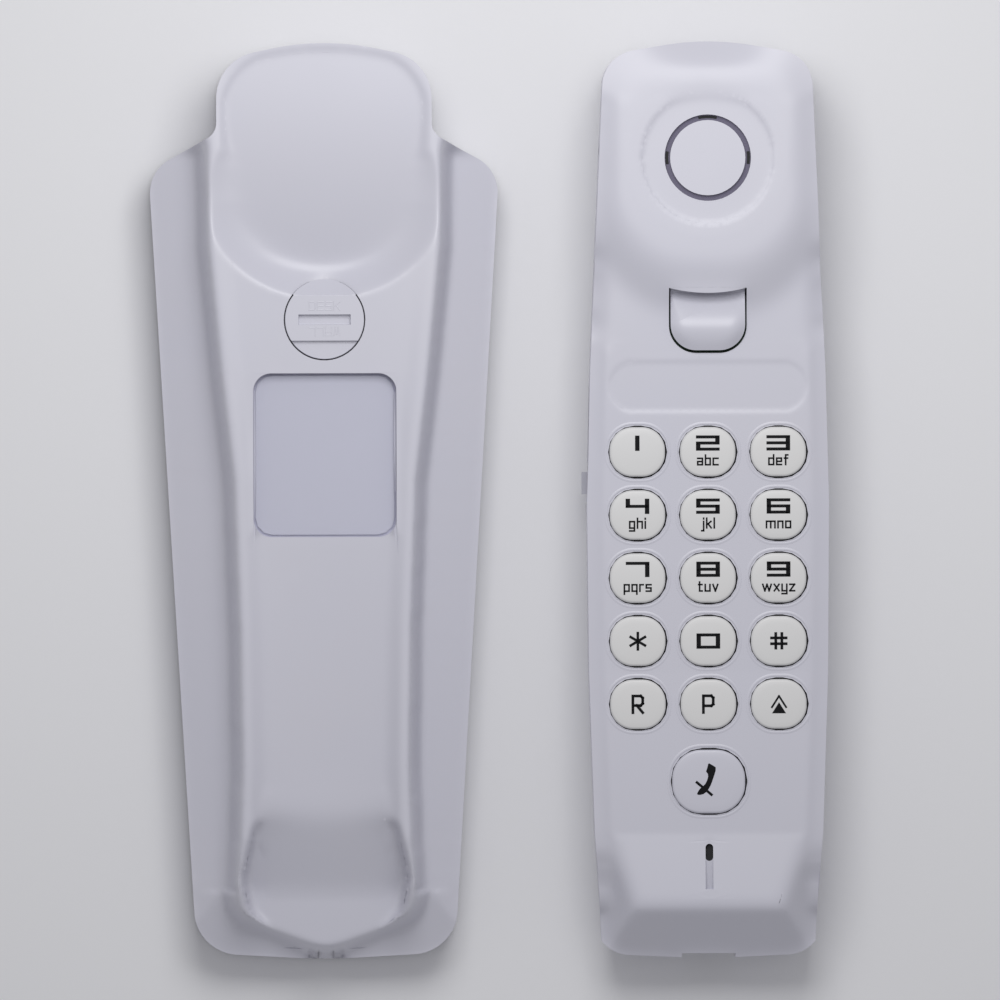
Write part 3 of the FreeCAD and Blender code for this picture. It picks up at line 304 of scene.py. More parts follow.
class HeightMap:
    """Heights of a moulding seen from above, blended, and read at any place."""

    def __init__(self, node, masked, reaches, zone, override=None, outside=None):
        self.tree = cad_tree(node)
        low, high = box_mm(node)
        self.x0, self.y0 = low.x - 1.0, low.y - 1.0
        xs = np.arange(self.x0, high.x + 1.0, map_step)
        ys = np.arange(self.y0, high.y + 1.0, map_step)
        heights = np.zeros((len(xs), len(ys)))
        mask = np.zeros_like(heights)
        for i, x in enumerate(xs):
            for j, y in enumerate(ys):
                z = self.level(x, y)
                if z is not None and not masked(x, y):
                    heights[i, j], mask[i, j] = z, 1.0
        if outside is not None:
            heights[mask == 0] = outside
            mask[:] = 1.0
        # a ray at the very edge may meet the round of the wall: such a cell rises to its neighbours
        around = [np.roll(heights, shift, axis) for axis in (0, 1) for shift in (1, -1)]
        at_edge = (heights > 0) & (np.minimum.reduce(around) == 0)
        heights = np.where(at_edge, np.maximum(heights, np.maximum.reduce(around) - map_step), heights)
        a, b = np.meshgrid(xs, ys, indexing="ij")
        if override:
            heights = override(a, b, heights)
        levels = [blurred(heights, mask, reach) for reach in reaches]
        blend = np.clip(blurred(zone(a, b), np.ones_like(mask), 1.2), 0, len(reaches) - 1)
        first = np.minimum(blend.astype(int), len(reaches) - 2) if len(reaches) > 1 else blend.astype(int)
        stack = np.stack(levels + [levels[-1]])
        share = blend - first
        self.grid = (np.take_along_axis(stack, first[None], 0)[0] * (1 - share)
                     + np.take_along_axis(stack, first[None] + 1, 0)[0] * share)
        self.slope = np.gradient(self.grid, map_step)

    def level(self, x, y):
        """Height of the CAD surface, or None beside it."""
        hit = self.tree.ray_cast(Vector((x, y, sky_z)) * mm, down)[0]
        return hit.z / mm if hit else None

    def read(self, field, x, y):
        """A field's value between its grid points."""
        a, b = (x - self.x0) / map_step, (y - self.y0) / map_step
        i, j = int(min(max(a, 0), field.shape[0] - 2)), int(min(max(b, 0), field.shape[1] - 2))
        u, v = a - i, b - j
        return ((field[i, j] * (1 - u) + field[i + 1, j] * u) * (1 - v)
                + (field[i, j + 1] * (1 - u) + field[i + 1, j + 1] * u) * v)

    def height(self, x, y):
        return self.read(self.grid, x, y)

    def normal(self, x, y):
        return Vector((-self.read(self.slope[0], x, y), -self.read(self.slope[1], x, y), 1)).normalized()


def blended(node, body, heights, masked, longest, steps=lambda x, y: False):
    """A copy of a CAD node whose top lies on its height map, in triangles with short edges.

    `longest` gives the longest edge at a place, and `steps` says where upright faces join the top.
    """
    form = bmesh.new()
    form.from_mesh(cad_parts[node].data)
    bmesh.ops.remove_doubles(form, verts=form.verts, dist=weld * mm)
    form.faces.ensure_lookup_table()
    print(node, "open edges", sum(len(edge.link_faces) != 2 for edge in form.edges))
    for face_ in form.faces:  # material index 1 marks the top, for a while
        centre = face_.calc_center_median()
        a, b = centre.x / mm, centre.y / mm
        start = centre + (up + face_.normal) * weld * mm
        open_above = heights.tree.ray_cast(start, up)[0] is None
        leans_up = face_.normal.z > (least_step_lean if steps(a, b) else least_lean)
        face_.material_index = 1 if leans_up and open_above and not masked(a, b) else 0
    for _ in range(9):  # long edges are halved until none is left
        edges = {}
        for face_ in form.faces:
            if face_.material_index:
                for edge in face_.edges:
                    middle = (edge.verts[0].co + edge.verts[1].co) / 2 / mm
                    if edge.calc_length() > longest(middle) * mm:
                        edges[edge] = True
        if not edges:
            break
        bmesh.ops.subdivide_edges(form, edges=list(edges), cuts=1)
        bmesh.ops.triangulate(form, faces=[q for q in form.faces if len(q.verts) > 3])
    for vert in form.verts:
        if any(q.material_index for q in vert.link_faces):
            vert.co.z = heights.height(vert.co.x / mm, vert.co.y / mm) * mm
    form.normal_update()
    mesh = bpy.data.meshes.new("moulded_" + node)
    form.to_mesh(mesh)
    form.free()
    on_top = {index for polygon in mesh.polygons if polygon.material_index for index in polygon.vertices}
    bent = {index: heights.normal(mesh.vertices[index].co.x / mm, mesh.vertices[index].co.y / mm)
            for index in on_top}
    normals = []  # the map's slope gives them on the top, so that its triangles don't show
    for polygon in mesh.polygons:
        polygon.use_smooth = True
        flat = polygon.normal.copy()
        follows = polygon.material_index or polygon.area < 0.01 * mm * mm
        normals.extend(bent[index] if follows and index in bent else flat for index in polygon.vertices)
        polygon.material_index = 0
    mesh.normals_split_custom_set(normals)
    obj = bpy.data.objects.new("moulded_" + node, mesh)
    link(obj, shell_abs, body, node)
    print(node, "triangles", len(mesh.polygons))


# %% [markdown]
# ### The cradle
# The ear cup is a dish: its floor falls ever more steeply from the rim towards the hook, and its
# wall rises again to an oval edge. Floor and wall meet in a soft fillet, the larger of the two
# heights rounded over. The seats of the hook and of the window stay crisp.

# %% Measures of the cradle's top
base_x = middle_x("base_cover")
hook_y = 42.4
hook_seat = 9.57  # radius of the hook's pocket
window_y = 10.7
window_seat = (17.1, 19.5)  # half width and half length
rim_z = 28.0  # the spine's crest and the cup's rim
bowl_y = 70.6  # middle of the cup's oval edge
oval_half = 27.7  # half width of that edge
oval_reach = 23.4  # half length of that edge
neck_half = 24.1  # half width of the neck's inner edge
neck_round = 9.9  # its corner radius
neck_end = 106.4  # its end on the middle line
neck_bow = 0.0083  # how fast that end falls back to the sides
neck_from = 74.0  # where the neck takes over from the oval
head_y, head_z = 103.0, 27.35  # where the dish begins to fall, and its level there
dish_square, dish_cube = 0.0011, 3.2e-5  # how it falls with the distance from there
wall_places = [50.0, 70.0, 78.0, 90.0]  # along the cup
wall_slopes = [1.1, 0.5, 0.5, 1.2]  # of its wall at those places
soft_places, soft_sizes = [60.0, 85.0], [1.4, 0.15]  # along the cup, and of its fillet there
spine_rows = (-92, 86)  # where the spine has outer walls
crest_z = 24.5  # the spine's crests are higher than this
flange_top = 24.0  # and the flanges beside them lower than this
flange_slope = 0.33
wall_power = 3.5  # how strongly the spine's outer walls are drawn in

# %% Blended cradle


def cradle_masked(x, y):
    """The seats of the hook and of the window."""
    near_hook = math.hypot(x - base_x, y - hook_y) < hook_seat
    near_window = abs(x - base_x) < window_seat[0] and abs(y - window_y) < window_seat[1]
    return near_hook or near_window


def neck_inward(a, b):
    """Distance inwards from the neck's inner edge, a box with round corners and a bowed end."""
    x = np.abs(a - base_x)
    across = x - (neck_half - neck_round)
    along = b - (neck_end - neck_bow * x ** 2 - neck_round)
    outside = np.hypot(np.clip(across, 0, None), np.clip(along, 0, None))
    return neck_round - outside - np.clip(np.maximum(across, along), None, 0)


def cup(a, b):
    """Distance inwards from the cup's edge, which is above zero in the cup, and its dish's height."""
    x = np.abs(a - base_x)
    share = np.sqrt((x / oval_half) ** 2 + ((b - bowl_y) / oval_reach) ** 2)
    reach = np.where(share > 0.05, np.hypot(x, b - bowl_y) / np.maximum(share, 0.05), oval_reach)
    inward = np.maximum((1 - share) * reach, np.where(b > neck_from, neck_inward(a, b), -9.0))
    fall = np.clip(head_y - b, 0, None)
    floor_z = head_z - dish_square * fall ** 2 - dish_cube * fall ** 3
    wall = rim_z - np.interp(b, wall_places, wall_slopes) * inward
    soft = np.interp(b, soft_places, soft_sizes)
    return inward, np.minimum(soft * np.logaddexp(floor_z / soft, wall / soft), rim_z)


def cradle_form(a, b, heights):
    """Draws in the spine's outer slopes towards their crests, and puts the dish into the cup."""
    inward, level = cup(a, b)
    formed = heights.copy()
    for j in range(heights.shape[1]):
        row = heights[:, j]
        if not spine_rows[0] < b[0, j] < spine_rows[1]:
            continue
        solid, crests = np.nonzero(row)[0], np.nonzero(row > crest_z)[0]
        if not len(crests):
            continue
        for edge, crest in ((solid[0], crests[0]), (solid[-1], crests[-1])):
            step = 1 if edge < crest else -1
            for i in range(edge, crest, step):
                rise = flange_slope * (abs(i - edge) - 2) * map_step
                flange = min(row[edge + 2 * step] + rise, flange_top)
                share = np.clip((row[i] - flange) / (rim_z - flange), 0, 1)
                formed[i, j] = flange + (rim_z - flange) * share ** wall_power
    return np.where(inward > 0, level, formed)


def cradle_steps(x, y):
    """Where upright faces lie inside the blended top: in the cup, the pocket's head and its nose."""
    in_cup = cup(np.array(x), np.array(y))[0] > 0.6
    in_nose = abs(x - base_x) < 4.6 and -106.6 < y < -100
    return in_cup or in_nose or (abs(x - base_x) < 17.5 and -80 < y < -68)


def cradle_zone(a, b):
    """How far the blending reaches, as a place in the list of reaches."""
    zone = np.full_like(a, 0.8)
    zone[(np.abs(a - base_x) < 17) & (b < 24)] = 1.2  # the trough
    zone[b < -75] = 0.7  # the nose
    zone[(np.abs(a - base_x) < 14) & (b < -79) & (b > -93)] = 1.6  # the mouth pocket's floor
    zone[(np.abs(a - base_x) < 15) & (b > -82) & (b < -68)] = 2.0  # its head
    return zone


cradle_map = HeightMap("base_cover", cradle_masked, (0.3, 0.8, 2.2), cradle_zone, override=cradle_form)
blended("base_cover", "base", cradle_map, cradle_masked,
        lambda p: 1.0 if p.y > 40 or p.y < -72 else 1.5, cradle_steps)

# %% [markdown]
# ### The handset
# The ear block melts into the keypad face, and the chin rolls over into the lower end. The
# earpiece groove stays crisp.

# %% Blended handset
hand_x = middle_x("handset_face")
ear_y = 80.0
label_rows = (19.2, 34.0)  # level lines just outside the label's recess
label_depth = 0.45  # share of the recess's depth that is drawn
side_strip = 3.4  # width of the long edges that are lifted
side_slope = 0.45


def handset_masked(x, y):
    """The groove round the earpiece and the groove below the mouthpiece."""
    from_ear = math.hypot(x - hand_x, y - ear_y)
    in_mic_groove = abs(x - hand_x) < 1.3 and -93.0 < y < -79.5
    return 8.6 < from_ear < 10.4 or in_mic_groove


def handset_zone(a, b):
    """How far the blending reaches, as a place in the list of reaches."""
    zone = np.full_like(a, 0.0)
    zone[(b > 36) & (b < 62)] = 1.3  # the skirt below the ear block
    zone[b >= 62] = 1.2
    zone[np.hypot(a - hand_x, b - ear_y) < 18] = 0.3  # the earpiece
    zone[b > 94] = 2.0  # the upper end
    zone[b < -80] = 0.9  # the chin
    zone[(np.abs(a - hand_x) > 24.6) & (b < 36) & (b > -80)] = 1.0  # the long edges
    return zone


def full_sides(a, b, heights):
    """Lifts the long edges of the keypad part, and makes the label's recess shallow."""
    near, far = [int((y - b[0, 0]) / map_step) for y in label_rows]
    for j in range(near + 1, far):
        share = (j - near) / (far - near)
        around = heights[:, near] * (1 - share) + heights[:, far] * share
        heights[:, j] = np.where(heights[:, j] > 0, around + label_depth * (heights[:, j] - around), 0)
    for j in range(heights.shape[1]):
        row = heights[:, j]
        inside = np.nonzero(row)[0]
        if not len(inside) or not -96 < b[0, j] < 40:
            continue
        count = int(side_strip / map_step)
        for first, step in ((inside[0], 1), (inside[-1], -1)):
            level = row[first + step * count]
            for k in range(count):
                place = first + step * k
                row[place] = max(row[place], level - side_slope * (count - k) * map_step)
    return heights


def handset_steps(x, y):
    """Where upright faces lie inside the blended top: beside the tongue and at the chin."""
    return 9.6 < abs(x - hand_x) < 24 and (-104 < y < -82 or 36 < y < 55)


handset_map = HeightMap("handset_face", handset_masked, (0.35, 1.5, 2.8), handset_zone,
                        override=full_sides)
blended("handset_face", "handset", handset_map, handset_masked, lambda p: 1.3, handset_steps)

# %% [markdown]
# ### The tongue and the brow above it
# Seen from above, the upper edge of the tongue's opening is a shallow arc. A strip of the ear
# block's skin, with a short lip turned down at its free edge, draws that arc. The tongue itself is
# blended like the shells: its map falls away all round, which rounds its edges like a pillow.

# %% Brow and tongue
brow_half = 9.1
brow_back = 49.75  # the strip's hidden edge
brow_ends = 49.6  # where the arc starts and ends
brow_sag = 1.2  # how far it dips in the middle
brow_lip = 1.0
brow_steps = 24


def tongue_brow():
    """The strip on the handset's blended face, and its lip."""
    form = bmesh.new()
    rows = []
    for i in range(brow_steps + 1):
        x = hand_x - brow_half + 2 * brow_half * i / brow_steps
        free = brow_ends - brow_sag * (1 - (2 * i / brow_steps - 1) ** 2)
        back_z, free_z = [handset_map.height(x, y) for y in (brow_back, free)]
        rows.append([point(form, x, y, z)
                     for y, z in ((brow_back, back_z), (free, free_z), (free, free_z - brow_lip))])
    bridge(form, rows)
    link(finished(form, "tongue_brow", 50), shell_abs, "handset")


def capped(a, b, heights):
    """Takes the crest off the tongue."""
    return np.minimum(heights, heights.max() - 0.4)


tongue_brow()
lever_map = HeightMap("hook_lever", lambda x, y: False, (1.4,), lambda a, b: np.zeros_like(a),
                      override=capped, outside=24.5)
blended("hook_lever", "hook_lever", lever_map, lambda x, y: y > 46, lambda p: 0.7)

# %% [markdown]
# ### The smaller mouldings
# The back shell, the bottom plate and the wall hook get a small radius on each edge that can be
# seen from outside. Rays tell which edges those are, so ribs and posts within stay as they are.

# %% Rounded copies
above_ways = [up] + [Vector(v) for v in ((1, 0, 0), (-1, 0, 0), (0, 1, 0), (0, -1, 0))]
below_ways = [down] + above_ways[1:]
least_turn = math.radians(24)


def outside_edges(form, ways):
    """Sharp edges from which a ray leaves without meeting the moulding."""
    tree = BVHTree.FromBMesh(form)
    found = []
    for edge in form.edges:
        if len(edge.link_faces) != 2 or edge.calc_face_angle() < least_turn:
            continue
        normal = (edge.link_faces[0].normal + edge.link_faces[1].normal).normalized()
        start = (edge.verts[0].co + edge.verts[1].co) / 2 + normal * 0.05 * mm
        if any(normal.dot(way) > 0.2 and tree.ray_cast(start, way)[0] is None for way in ways):
            found.append(edge)
    return found


def chains(edges):
    """Splits edges into groups that hang together, always in the same order."""
    left = set(edges)
    for first in edges:
        if first not in left:
            continue
        left.remove(first)
        group = [first]
        for edge in group:
            for vert in edge.verts:
                for other in vert.link_edges:
                    if other in left:
                        left.remove(other)
                        group.append(other)
        yield group


def rounded_copy(node, body, material, radius, ways):
    """A copy of a CAD node with a radius on its outside edges."""
    form = bmesh.new()
    form.from_mesh(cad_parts[node].data)
    bmesh.ops.remove_doubles(form, verts=form.verts, dist=0.002 * mm)
    bmesh.ops.dissolve_limit(form, angle_limit=math.radians(0.4), verts=form.verts, edges=form.edges)
    edges = outside_edges(form, ways)
    for group in chains(edges):
        bmesh.ops.bevel(form, geom=group, offset=radius * mm, offset_type="OFFSET", segments=3,
                        profile=0.5, affect="EDGES", clamp_overlap=True, loop_slide=True)
    surface = cad_tree(node)
    for vert in form.verts:
        near, _, _, gap = surface.find_nearest(vert.co)
        if gap > 0.6 * radius * mm:  # a corner that ran out goes back to the moulding
            vert.co = near
    for face_ in form.faces:
        face_.smooth = True
    mesh = bpy.data.meshes.new("moulded_" + node)
    form.to_mesh(mesh)
    form.free()
    mesh.set_sharp_from_angle(angle=math.radians(38))
    obj = bpy.data.objects.new("moulded_" + node, mesh)
    weighted = obj.modifiers.new("flat_faces_stay_flat", "WEIGHTED_NORMAL")
    weighted.keep_sharp = True
    link(obj, material, body, node)
    print(node, "edges rounded", len(edges), "faces", len(mesh.polygons))


rounded_copy("handset_back", "handset", shell_abs, 0.35, below_ways)
rounded_copy("wall_hook", "wall_hook", shell_abs, 0.25, above_ways)
rounded_copy("base_plate", "base", plate_abs, 0.25, below_ways)

# %% [markdown]
# ## Keys
# Each cap is an oval with round corners and short straight sides, like its hole in the moulding.
# Smaller copies of the outline give the rings that round the edge over into the crown. The crown
# is a shallow paraboloid, so a legend can be laid onto it exactly.

# %% Key caps from rings
corner_points = 14
crown_drop = 0.5  # from the cap's middle to the ends of its long axis
key_corner = 5.8
flash_corner = 7.2
flange_out = 0.4  # from the cap's side to its flange's edge, both from the moulding
cap_play = 0.40  # how much slimmer the drawn cap is than the CAD cap
cap_shift = 0.10  # the caps sit this much to the left in their holes,
row_gain, row_home = 0.0012, -30.0  # and their rows spread a little from this one
cap_foot = 0.8  # thickness of the flange under the cap
edge_round = 0.6


def oval(half_a, half_b, corner):
    """Points round a rectangle with round corners, counter-clockwise."""
    corner = min(corner, half_a, half_b)
    points = []
    for quarter, (sign_a, sign_b) in enumerate(((1, 1), (-1, 1), (-1, -1), (1, -1))):
        for i in range(corner_points):
            turn = (quarter + i / (corner_points - 1)) * math.pi / 2
            points.append((sign_a * (half_a - corner) + corner * math.cos(turn),
                           sign_b * (half_b - corner) + corner * math.sin(turn)))
    return points


def crown(x, y, half_a, half_b, top):
    """Height of the cap's crown at a place on it."""
    return top - crown_drop * 0.5 * ((x / half_a) ** 2 + (y / half_b) ** 2)


keys = {}  # place, half sizes and top of each drawn cap
holes = {}  # place, half sizes and corner radius of each hole


def ring_of(form, centre, points, height):
    """Vertices at outline points about a centre; `height` gives z from the point."""
    return [point(form, centre.x + x, centre.y + y, height(x, y)) for x, y in points]


def key_cap(node, corner, material):
    """A crowned cap with its retaining flange, in the box of its CAD node."""
    low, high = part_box(node)
    centre = (low + high) / 2 / mm
    half_a = (high.x - low.x) / 2 / mm - flange_out
    half_b = (high.y - low.y) / 2 / mm - flange_out
    bottom, top = low.z / mm, high.z / mm
    shoulder = bottom + cap_foot
    centre.x -= cap_shift
    centre.y += row_gain * (centre.y - row_home)
    half_a, half_b, corner = half_a - cap_play, half_b - cap_play, corner - cap_play
    form = bmesh.new()
    rings = [ring_of(form, centre, oval(half_a, half_b, corner), lambda x, y: shoulder)]
    for step in range(6):
        turn = step / 5 * math.pi / 2
        inset = edge_round * (1 - math.cos(turn))
        drop = edge_round * (1 - math.sin(turn))
        rings.append(ring_of(form, centre, oval(half_a - inset, half_b - inset, corner - inset),
                             lambda x, y: crown(x, y, half_a, half_b, top) - drop))
    flat = oval(half_a - edge_round, half_b - edge_round, corner - edge_round)
    for share in (0.8, 0.6, 0.4, 0.2):
        rings.append(ring_of(form, centre, [(x * share, y * share) for x, y in flat],
                             lambda x, y: crown(x, y, half_a, half_b, top)))
    bridge(form, rings, closed=True)
    form.faces.new(rings[-1])
    rim = flange_out + cap_play - 0.1
    skirt = oval(half_a + rim, half_b + rim, corner + rim)
    flange = [ring_of(form, centre, skirt, lambda x, y: height) for height in (bottom, shoulder)]
    bridge(form, flange, closed=True)
    form.faces.new(list(reversed(flange[0])))
    form.faces.new(flange[1])
    obj = finished(form, "cap_" + node, 50)
    link(obj, material, node, node)
    # the flange below the shoulder is painted shade, black, so the gap round the cap reads dark
    obj.data.materials.append(gap_shade_black)
    for polygon in obj.data.polygons:
        if polygon.center.z < shoulder * mm + 0.00001:
            polygon.material_index = 1
    keys[node] = (centre.x, centre.y, half_a, half_b, top)
    home = (low + high) / 2 / mm
    holes[node] = (home.x, home.y, half_a + cap_play, half_b + cap_play, corner + cap_play)


for node in sorted(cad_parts):
    if node.startswith("key_") and node != "key_flash":
        key_cap(node, key_corner, key_abs)
key_cap("key_flash", flash_corner, shell_abs)
print("keys", len(keys))

# %% [markdown]
# ## Raised lips round the key holes
# A thin bead runs round each hole: it stiffens the moulding and hides the change of level. It is
# drawn as a low ring whose foot follows the blended face. The caps' flanges and the bead's inner
# faces in the gap are painted shade, black, so the gap reads as a black line.

# %% Beads round the holes
bead_profile = ((-0.28, -0.05), (0.18, -0.05), (0.18, 0.03), (0.26, 0.07), (0.44, 0.10), (0.65, 0.07),
                (0.95, -0.02))  # distance outwards from the hole's edge, and rise above the face
bead_foot = 0.8  # how far out the face's height is read


def bead(node):
    """The low ring round one key hole."""
    x, y, half_a, half_b, corner = holes[node]
    form = bmesh.new()
    foot = [handset_map.height(x + a, y + b)
            for a, b in oval(half_a + bead_foot, half_b + bead_foot, corner + bead_foot)]
    rings = []
    for out, rise in bead_profile:
        points = oval(half_a + out, half_b + out, corner + out)
        rings.append([point(form, x + a, y + b, level + rise) for (a, b), level in zip(points, foot)])
    bridge(form, rings, closed=True)
    obj = finished(form, "bead_" + node)
    link(obj, shell_abs, "handset")
    # the bead's inner faces in the gap are painted shade, black
    obj.data.materials.append(gap_shade_black)
    for polygon in list(obj.data.polygons)[:2 * len(foot)]:
        polygon.material_index = 1


for node in keys:
    bead(node)

# %% [markdown]
# ## The index window
# A clear acrylic pane lies over the number card. Its rim is chamfered, and thin white strips on
# the chamfer of its two long sides are painted highlights: the glints along the pane.

# %% Pane and painted glints
pane_corner = 4.2
chamfer = 0.4
pane_gap = 0.08  # keeps the pane's underside off the card
glint_spans = ((-1, (-0.78, 0.80)), (1, (-0.45, 0.78)))  # side, and its part of the half length
glint_steps = 12


def pane():
    """The clear pane in the box of its CAD node, and two strips of painted highlight on its chamfer."""
    low, high = box_mm("index_window")
    centre = (low + high) / 2
    half_a, half_b = (high.x - low.x) / 2, (high.y - low.y) / 2
    form = bmesh.new()
    outer = oval(half_a, half_b, pane_corner)
    inner = oval(half_a - chamfer, half_b - chamfer, pane_corner - chamfer)
    rings = [ring_of(form, centre, outer, lambda x, y: low.z + pane_gap),
             ring_of(form, centre, outer, lambda x, y: high.z - chamfer),
             ring_of(form, centre, inner, lambda x, y: high.z)]
    bridge(form, rings, closed=True)
    form.faces.new(rings[-1])
    form.faces.new(list(reversed(rings[0])))
    obj = finished(form, "index_pane", 30)
    link(obj, acrylic, "base", "index_window")
    # painted highlight: two white strips, widest mid-way, draw the glints on the long sides
    sides = bmesh.new()
    for sign, span in glint_spans:
        rows = []
        for i in range(glint_steps + 1):
            y = centre.y + half_b * (span[0] + (span[1] - span[0]) * i / glint_steps)
            thin = 0.14 * math.sin(math.pi * (i + 0.6) / 13.2) + 0.03
            x = centre.x + sign * (half_a - chamfer * 0.5)
            z = high.z - chamfer * 0.5 + 0.02
            rows.append([point(sides, x - thin, y, z + sign * thin),
                         point(sides, x + thin, y, z - sign * thin)])
        bridge(sides, rows)
    link(finished(sides, "pane_painted_glints"), glint_white, "base")


pane()

# %% [markdown]
# ## Painted shade in the mouthpiece's hole
# A black disc lies just below the hole of the mouthpiece. It is painted shade, so that the hole
# reads as dark.

# %% Black disc of painted shade
mic_hole_y = -82.5
hole_shade_depth = 1.2  # below the face
hole_shade_size = (1.5, 2.6, 1.4)  # half sizes and corner


def mic_hole_shade():
    """The black disc of painted shade under the mouthpiece's hole."""
    low, high = box_mm("microphone")
    level = handset_map.height(hand_x, mic_hole_y) - hole_shade_depth
    form = bmesh.new()
    form.faces.new(ring_of(form, (low + high) / 2, oval(*hole_shade_size), lambda x, y: level))
    link(finished(form, "mic_hole_shade"), gap_shade_black, "handset")


mic_hole_shade()

# %% [markdown]
# ## Painted shade in the ear ring
# A dark ring lies in the groove of the earpiece: painted shade, for the depth of the groove. Black
# arcs on it are painted shade for the sound slots: the upper one is wide and thin, and those at the
# sides are short. A narrow rim of the shell's plastic closes the groove on its outside.

# %% Painted shade in the groove and its slots


def arc_band(name, radii, spans, z, material):
    """Flat bands of a ring between angles in degrees."""
    form = bmesh.new()
    for start, end in spans:
        count = max(4, int(abs(end - start) / 5))
        rows = []
        for i in range(count + 1):
            turn = math.radians(start + (end - start) * i / count)
            rows.append([point(form, hand_x + r * math.cos(turn), ear_y + r * math.sin(turn), z)
                         for r in radii])
        bridge(form, rows)
    link(finished(form, name), material, "handset")


face_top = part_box("handset_face")[1].z / mm
disc_drop, groove_depth = 0.4, 1.2  # of the disc below the face, and of the groove below the disc
groove_floor = face_top - disc_drop - groove_depth
# painted shade: the dark ring and the black arcs stand where the groove and its slots lie in shade
arc_band("ear_groove_painted_shade", (8.82, 10.08), [(0, 360)], groove_floor + 0.25, groove_shade_dark)
arc_band("ear_groove_rim", (10.1, 10.5), [(0, 360)], face_top - 0.39, shell_abs)
arc_band("ear_slot_top_painted_shade", (9.25, 9.85), [(77, 103)], groove_floor + 0.30, gap_shade_black)
arc_band("ear_slot_sides_painted_shade", (9.2, 9.9), [(-9, 9), (171, 189)], groove_floor + 0.30, gap_shade_black)

# %% [markdown]
# ## Legends
# The marks are pad-printed, so each is a film of ink that follows the crown. They are drawn as pen
# strokes on a square grid: the wide digits have heavy uprights and thin bars, and the small
# letters have one even stroke. A stroke becomes a ribbon of short quads lifted just off the cap.

# %% Pen strokes


def pen(text):
    """Strokes from text: points are written x,y and a bar parts two strokes."""
    return [[tuple(float(v) for v in pair.split(",")) for pair in stroke.split()]
            for stroke in text.split("|")]


def pen_table(texts):
    return {mark: pen(text) for mark, text in texts.items()}


digit_strokes = pen_table({
    "1": "0.5,0 0.5,1", "2": "0,1 1,1 1,0.5 0,0.5 0,0 1,0", "3": "0,1 1,1 1,0 0,0 | 0,0.5 1,0.5",
    "4": "0,1 0,0.5 1,0.5 | 1,1 1,0", "5": "1,1 0,1 0,0.5 1,0.5 1,0 0,0",
    "6": "1,1 0,1 0,0 1,0 1,0.5 0,0.5", "7": "0,1 1,1 1,0", "8": "0,0 0,1 1,1 1,0 0,0 | 0,0.5 1,0.5",
    "9": "0,0 1,0 1,1 0,1 0,0.5 1,0.5", "0": "0,0 0,1 1,1 1,0 0,0",
})
letter_strokes = pen_table({
    "a": "0,1 1,1 1,0 0,0 0,0.5 1,0.5", "b": "0,1.5 0,0 1,0 1,1 0,1", "c": "1,1 0,1 0,0 1,0",
    "d": "1,1.5 1,0 0,0 0,1 1,1", "e": "0,0.5 1,0.5 1,1 0,1 0,0 1,0",
    "f": "0.7,1.5 0.25,1.5 0.25,0 | 0,1 0.65,1", "g": "1,0 0,0 0,1 1,1 1,-0.45 0,-0.45",
    "h": "0,1.5 0,0 | 0,1 1,1 1,0", "i": "0,1 0,0 | 0,1.4 0,1.5",
    "j": "0.4,1 0.4,-0.45 0,-0.45 | 0.4,1.4 0.4,1.5", "k": "0,1.5 0,0 | 0,0.45 0.9,1 | 0.3,0.62 0.95,0",
    "l": "0,1.5 0,0", "m": "0,0 0,1 1.8,1 1.8,0 | 0.9,1 0.9,0", "n": "0,0 0,1 1,1 1,0",
    "o": "0,0 0,1 1,1 1,0 0,0", "p": "0,-0.45 0,1 1,1 1,0 0,0", "q": "1,-0.45 1,1 0,1 0,0 1,0",
    "r": "0,0 0,1 0.7,1", "s": "1,1 0,1 0,0.5 1,0.5 1,0 0,0", "t": "0.2,1.4 0.2,0 0.75,0 | 0,1 0.7,1",
    "u": "0,1 0,0 1,0 1,1", "v": "0,1 0.5,0 1,1", "w": "0,1 0.45,0 0.9,1 1.35,0 1.8,1",
    "x": "0,1 1,0 | 0,0 1,1", "y": "0,1 0,0 1,0 | 1,1 1,-0.45 0,-0.45", "z": "0,1 1,1 0,0 1,0",
})
capital_strokes = pen_table({
    "A": "0,0 0,1 1,1 1,0 | 0,0.5 1,0.5", "D": "0,0 0,1 0.75,1 1,0.75 1,0.25 0.75,0 0,0",
    "E": "1,1 0,1 0,0 1,0 | 0,0.5 0.9,0.5", "K": "0,1 0,0 | 0,0.4 1,1 | 0.35,0.6 1,0",
    "L": "0,1 0,0 1,0", "P": "0,0 0,1 0.8,1 1,0.88 1,0.5 0.8,0.4 0,0.4",
    "R": "0,0 0,1 0.8,1 1,0.88 1,0.55 0.8,0.43 0,0.43 | 0.4,0.43 1,0",
    "S": "1,1 0,1 0,0.5 1,0.5 1,0 0,0", "W": "0,1 0.25,0 0.5,0.8 0.75,0 1,1",
})
star_strokes = pen("0,-1 0,1 | -0.88,-0.52 0.88,0.52 | -0.88,0.52 0.88,-0.52")
hash_strokes = pen("-0.42,-1 -0.42,1 | 0.42,-1 0.42,1 | -1,-0.4 1,-0.4 | -1,0.4 1,0.4")
quad_length = 0.45
handset_icon = [  # left and right outline points from the ear end to the mouth end
    (-0.12, 4.15, 0.12, 4.27), (-0.28, 3.5, 1.1, 3.72), (-0.45, 2.9, 1.65, 3.30), (-0.63, 2.39, 1.60, 2.50),
    (-0.20, 1.75, 1.38, 1.75), (-0.16, 1.1, 1.12, 1.0), (-0.42, 0.2, 0.84, 0.15), (-0.86, -0.6, 0.45, -0.85),
    (-1.45, -1.15, 0.0, -1.7), (-2.05, -1.65, -0.6, -2.45), (-2.45, -2.2, -1.3, -2.95),
    (-2.75, -2.8, -2.1, -3.12), (-2.68, -3.0, -2.43, -3.11),
]


